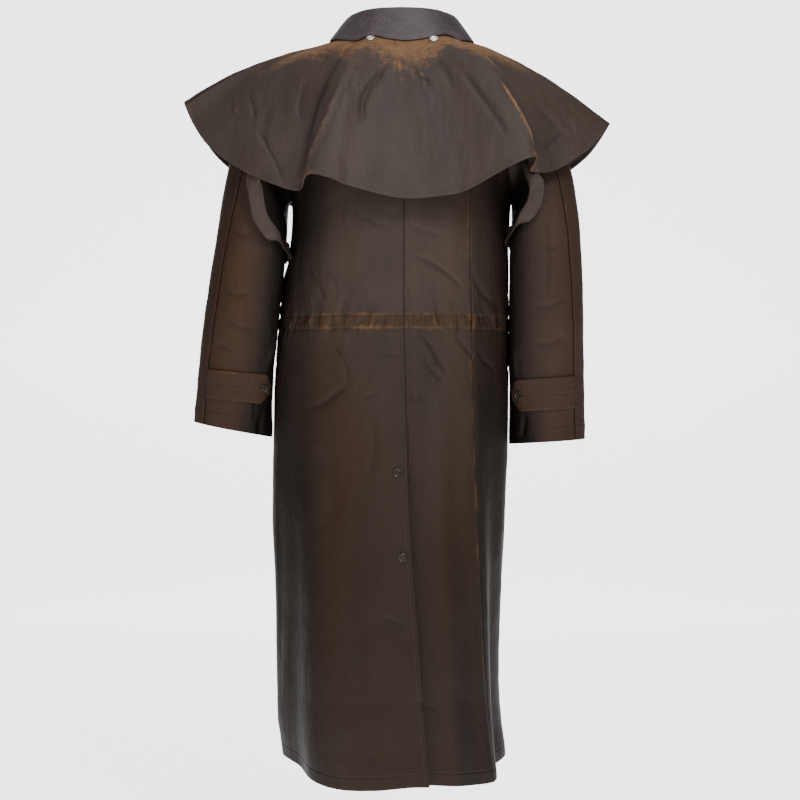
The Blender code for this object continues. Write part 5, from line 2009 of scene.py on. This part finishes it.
SLEEVE_CREASES = creases(Face.BACK, (
    (3.2, 2.6, 0.0, 0.4, ((0.196, -0.468), (0.210, -0.505), (0.235, -0.585))),
    (4.5, -1.4, 1.0, 0.1, ((0.292, -0.330), (0.272, -0.342), (0.250, -0.340))),
    (5.9, -1.7, 1.1, 0.1, ((0.308, -0.430), (0.280, -0.445), (0.255, -0.438))),
    (5.9, -1.8, 1.1, 0.1, ((0.302, -0.480), (0.275, -0.500), (0.250, -0.500))),
    (5.2, -1.3, 0.9, 0.0, ((0.318, -0.525), (0.290, -0.540))),
    (4.5, -2.4, 1.2, 0.1, ((0.240, -0.640), (0.246, -0.668), (0.242, -0.690))),
    (3.9, 1.6, 0.0, 0.2, ((0.256, -0.625), (0.262, -0.660))),
    (3.2, 1.8, 0.0, 0.3, ((-0.195, -0.530), (-0.200, -0.585))),
    (5.2, -1.5, 1.0, 0.1, ((-0.285, -0.345), (-0.262, -0.360), (-0.240, -0.352))),
    (5.9, -1.8, 1.1, 0.1, ((-0.290, -0.440), (-0.255, -0.462), (-0.230, -0.455))),
    (5.9, -1.7, 1.0, 0.1, ((-0.286, -0.505), (-0.258, -0.525), (-0.225, -0.520))),
    (4.5, -2.4, 1.2, 0.1, ((-0.215, -0.645), (-0.210, -0.690))),
    (6.5, -1.6, 0.8, 0.0, ((-0.250, -0.300), (-0.256, -0.380), (-0.248, -0.450))),
)) + creases(Face.FRONT, (
    (5.2, -1.8, 1.1, 0.15, ((0.300, -0.350), (0.265, -0.375), (0.240, -0.370))),
    (5.9, -2.2, 1.2, 0.15, ((0.310, -0.440), (0.275, -0.455), (0.245, -0.445))),
    (5.9, -1.9, 1.1, 0.15, ((0.305, -0.490), (0.275, -0.510), (0.250, -0.505))),
    (5.2, -1.8, 1.1, 0.15, ((-0.295, -0.350), (-0.260, -0.378), (-0.235, -0.370))),
    (5.9, -2.2, 1.2, 0.15, ((-0.300, -0.450), (-0.262, -0.468), (-0.232, -0.455))),
    (5.9, -1.9, 1.1, 0.15, ((-0.292, -0.510), (-0.262, -0.530), (-0.236, -0.522))),
))
SLEEVE_ROWS: dict[str, Rows] = {
    "left": (
        (0.1960, -0.276, 0.213, -0.043, 0.0775, 0.000),
        (0.1975, -0.282, 0.238, -0.056, 0.0780, 0.000),
        (0.1985, -0.292, 0.263, -0.085, 0.0790, 0.000),
        (0.1990, -0.305, 0.282, -0.127, 0.0800, 0.000),
        (0.2000, -0.322, 0.294, -0.177, 0.0810, 0.000),
        (0.2025, -0.350, 0.306, -0.236, 0.0810, 0.000),
        (0.2072, -0.388, 0.319, -0.308, 0.0800, 0.000),
        (0.2115, -0.442, 0.333, -0.398, 0.0770, -0.001),
        (0.2180, -0.502, 0.345, -0.478, 0.0730, -0.003),
        (0.2240, -0.562, 0.353, -0.546, 0.0690, -0.005),
        (0.2260, -0.622, 0.359, -0.607, 0.0640, -0.007),
        (0.2270, -0.686, 0.364, -0.659, 0.0610, -0.009),
    ),
    "right": (
        (0.1970, -0.276, 0.212, -0.044, 0.0775, 0.000),
        (0.1975, -0.282, 0.235, -0.060, 0.0780, 0.000),
        (0.1975, -0.292, 0.259, -0.092, 0.0790, 0.000),
        (0.1970, -0.305, 0.278, -0.135, 0.0800, 0.000),
        (0.1968, -0.322, 0.293, -0.184, 0.0810, 0.000),
        (0.1966, -0.350, 0.305, -0.240, 0.0810, 0.000),
        (0.1960, -0.388, 0.315, -0.312, 0.0800, 0.000),
        (0.1950, -0.442, 0.321, -0.402, 0.0770, -0.001),
        (0.1950, -0.506, 0.3235, -0.482, 0.0730, -0.003),
        (0.1945, -0.570, 0.324, -0.556, 0.0690, -0.005),
        (0.1935, -0.634, 0.325, -0.624, 0.0640, -0.007),
        (0.1930, -0.698, 0.3255, -0.689, 0.0610, -0.009),
    ),
}
# The straps' free parts: the middle line, and the way the width lies
STRAP_ROWS: dict[str, Rows] = {
    "left": (
        (0.2440, 0.1090, -0.268, 1.00, 0.1, 0.05), (0.2360, 0.1000, -0.312, 1.00, 0.1, 0.15),
        (0.2110, 0.0930, -0.346, 0.80, 0.1, 0.50), (0.1895, 0.0690, -0.364, 0.30, 0.0, 0.95),
        (0.1942, 0.0420, -0.367, 0.00, 0.0, 1.00), (0.1980, 0.0240, -0.368, 0.00, 0.0, 1.00),
        (0.2008, 0.0000, -0.368, -0.10, 0.0, 1.00), (0.2070, -0.0520, -0.362, 0.15, 0.0, 1.00),
        (0.2260, -0.0900, -0.345, 0.80, -0.1, 0.50), (0.2400, -0.1080, -0.302, 1.00, -0.1, 0.15),
        (0.2450, -0.1150, -0.258, 1.00, -0.1, 0.05),
    ),
    "right": (
        (0.2310, 0.1090, -0.258, 1.00, 0.1, 0.05), (0.2260, 0.1000, -0.290, 1.00, 0.1, 0.15),
        (0.2050, 0.0930, -0.318, 0.80, 0.1, 0.50), (0.1842, 0.0690, -0.337, 0.30, 0.0, 0.95),
        (0.1882, 0.0420, -0.342, 0.00, 0.0, 1.00), (0.1913, 0.0240, -0.343, 0.00, 0.0, 1.00),
        (0.1935, 0.0000, -0.343, 0.00, 0.0, 1.00), (0.2010, -0.0520, -0.337, 0.15, 0.0, 1.00),
        (0.2190, -0.0900, -0.318, 0.80, -0.1, 0.50), (0.2320, -0.1070, -0.290, 1.00, -0.1, 0.15),
        (0.2380, -0.1130, -0.264, 1.00, -0.1, 0.05),
    ),
}
STRAP_ENDS = {"left": (9.40, 4.10), "right": (20.10, 26.10)}
SIDES = {"left": 1.0, "right": -1.0}

FELLED = tuple(Stitch(edge, inset) for edge in (Edge.FIRST, Edge.LAST) for inset in (1.8, 8.2))
BODY_CLOTH = Oilskin("body_oilskin", (0.0175, 0.0118, 0.0088), (0.0375, 0.0255, 0.0195),
                     (0.0330, 0.0158, 0.0072), (0.1000, 0.0470, 0.0190),
                     FELLED + (Stitch(Edge.HEM, 21.0),), waist=True)
CAPE_CLOTH = Oilskin("cape_oilskin", (0.0232, 0.0166, 0.0142), (0.0445, 0.0325, 0.0285),
                     (0.0430, 0.0275, 0.0185), (0.1850, 0.0920, 0.0400),
                     FELLED + (Stitch(Edge.HEM, 8.0),), roughness=0.60)
SLEEVE_CLOTH = Oilskin("sleeve_oilskin", (0.0150, 0.0078, 0.0050), (0.0335, 0.0187, 0.0131),
                       (0.0350, 0.0150, 0.0066), (0.0950, 0.0360, 0.0130),
                       FELLED[2:] + (Stitch(Edge.HEM, 27.0),), thread=0.15)
TRIM_CLOTH = Oilskin("trim_oilskin", (0.0200, 0.0138, 0.0110), (0.0410, 0.0290, 0.0240),
                     (0.0450, 0.0250, 0.0160), (0.1200, 0.0550, 0.0230),
                     tuple(Stitch(edge, 3.0) for edge in Edge), thread=0.20)
BRIGHT_METAL = SnapMetal("bright_snap", (0.78, 0.78, 0.77), (0.30, 0.29, 0.28), (0.45, 0.75), 0.22)
AGED_METAL = SnapMetal("aged_snap", (0.090, 0.074, 0.058), (0.020, 0.018, 0.016), (0.30, 0.62), 0.32)


def cape_damping(places: Array) -> Array:
    """Keeps the cape's folds low where the collar lies on it.

    Args:
        places: points of the cloth, n by 3.

    Returns:
        A factor at each place.
    """
    reach = np.where(places[:, 1] > 0.0, 0.106, 0.140)
    out = np.hypot((places[:, 0] + 0.003) / 0.127, places[:, 1] / reach)
    return 0.12 + 0.88 * smooth_all(out, 0.98, 1.20)


def cape_wear(places: Array, normals: Array) -> Array:
    """The cape is rubbed tan below the collar and over the shoulders.

    Args:
        places: points of the cloth, n by 3.
        normals: their outward directions.

    Returns:
        0 to 1 at each place.
    """
    out = np.hypot((places[:, 0] + 0.003) / 0.127, places[:, 1] / 0.120)
    collar = 0.80 * (1 - smooth_all(out, 0.95, 1.42))
    ridge = 0.80 * smooth_all(normals[:, 2], 0.42, 0.82) * (1 - smooth_all(out, 1.1, 2.7))
    tip = 0.5 * np.exp(-(((places[:, 0] + 0.224) / 0.020) ** 2 + ((places[:, 2] + 0.226) / 0.022) ** 2))
    fold = 0.6 * np.exp(-(((places[:, 0] - 0.152) / 0.020) ** 2 + ((places[:, 2] + 0.255) / 0.018) ** 2))
    return np.maximum(np.maximum(collar, ridge), np.maximum(tip, fold))


def body_wear(places: Array, normals: Array) -> Array:
    """The body is rubbed along the waist casing and at the sides of the skirt.

    Args:
        places: points of the cloth, n by 3.
        normals: their outward directions.

    Returns:
        0 and up at each place.
    """
    off = np.abs(places[:, 2] - Body.waist_z)
    patchy = np.array([noise.noise(Vector((p[0] / 0.05, p[1] / 0.05, 3.0))) for p in places])
    rows = np.exp(-((off - Body.waist_half) / 0.0035) ** 2) * (0.58 + 0.62 * patchy)
    band = 0.14 * (1 - smooth_all(off, 0.008, 0.020))
    return np.maximum(rows, band)


def main() -> None:
    """Builds the coat piece by piece, and then the studio."""
    logging.basicConfig(level=logging.INFO, format="%(name)s: %(message)s")
    form = BodyForm()
    body_cloth, cape_cloth = BODY_CLOTH.material(), CAPE_CLOTH.material()
    sleeve_cloth, trim_cloth = SLEEVE_CLOTH.material(), TRIM_CLOTH.material()
    body_relief = Relief(BACK_CREASES + FRONT_CREASES, [
        Ripple(0.120, 2.4, (1.0, 1.0, 3.2)), Ripple(0.048, 1.1, (1.0, 1.0, 1.7), 5.0),
        Ripple(0.020, 0.45, (1.0, 1.0, 1.3), 9.0)])
    cape_relief = Relief(CAPE_CREASES, [
        Ripple(0.095, 2.2), Ripple(0.042, 1.0, shift=4.0), Ripple(0.018, 0.35, shift=8.0)], cape_damping)
    sleeve_relief = Relief(SLEEVE_CREASES, [
        Ripple(0.080, 1.3, (1.0, 1.0, 1.8)), Ripple(0.036, 0.9, shift=3.0), Ripple(0.016, 0.35, shift=6.0)])
    Body(form, body_cloth, body_relief, body_wear).build()
    sleeves = {word: Sleeve(side, word, SLEEVE_ROWS[word], form, sleeve_cloth, sleeve_relief)
               for word, side in SIDES.items()}
    for sleeve in sleeves.values():
        sleeve.build()
    cape = Cape(form, cape_cloth, cape_relief, cape_wear)
    cape.build()
    Collar(form, cape, CollarLeather().material(), trim_cloth).build()
    for word, side in SIDES.items():
        Strap(side, word, cape, trim_cloth, *STRAP_ENDS[word], STRAP_ROWS[word]).build()
    Snaps(form, cape, sleeves, BRIGHT_METAL.material(), AGED_METAL.material(), body_relief,
          cape_relief).build()
    Studio().build()


if __name__ == "__main__":
    main()
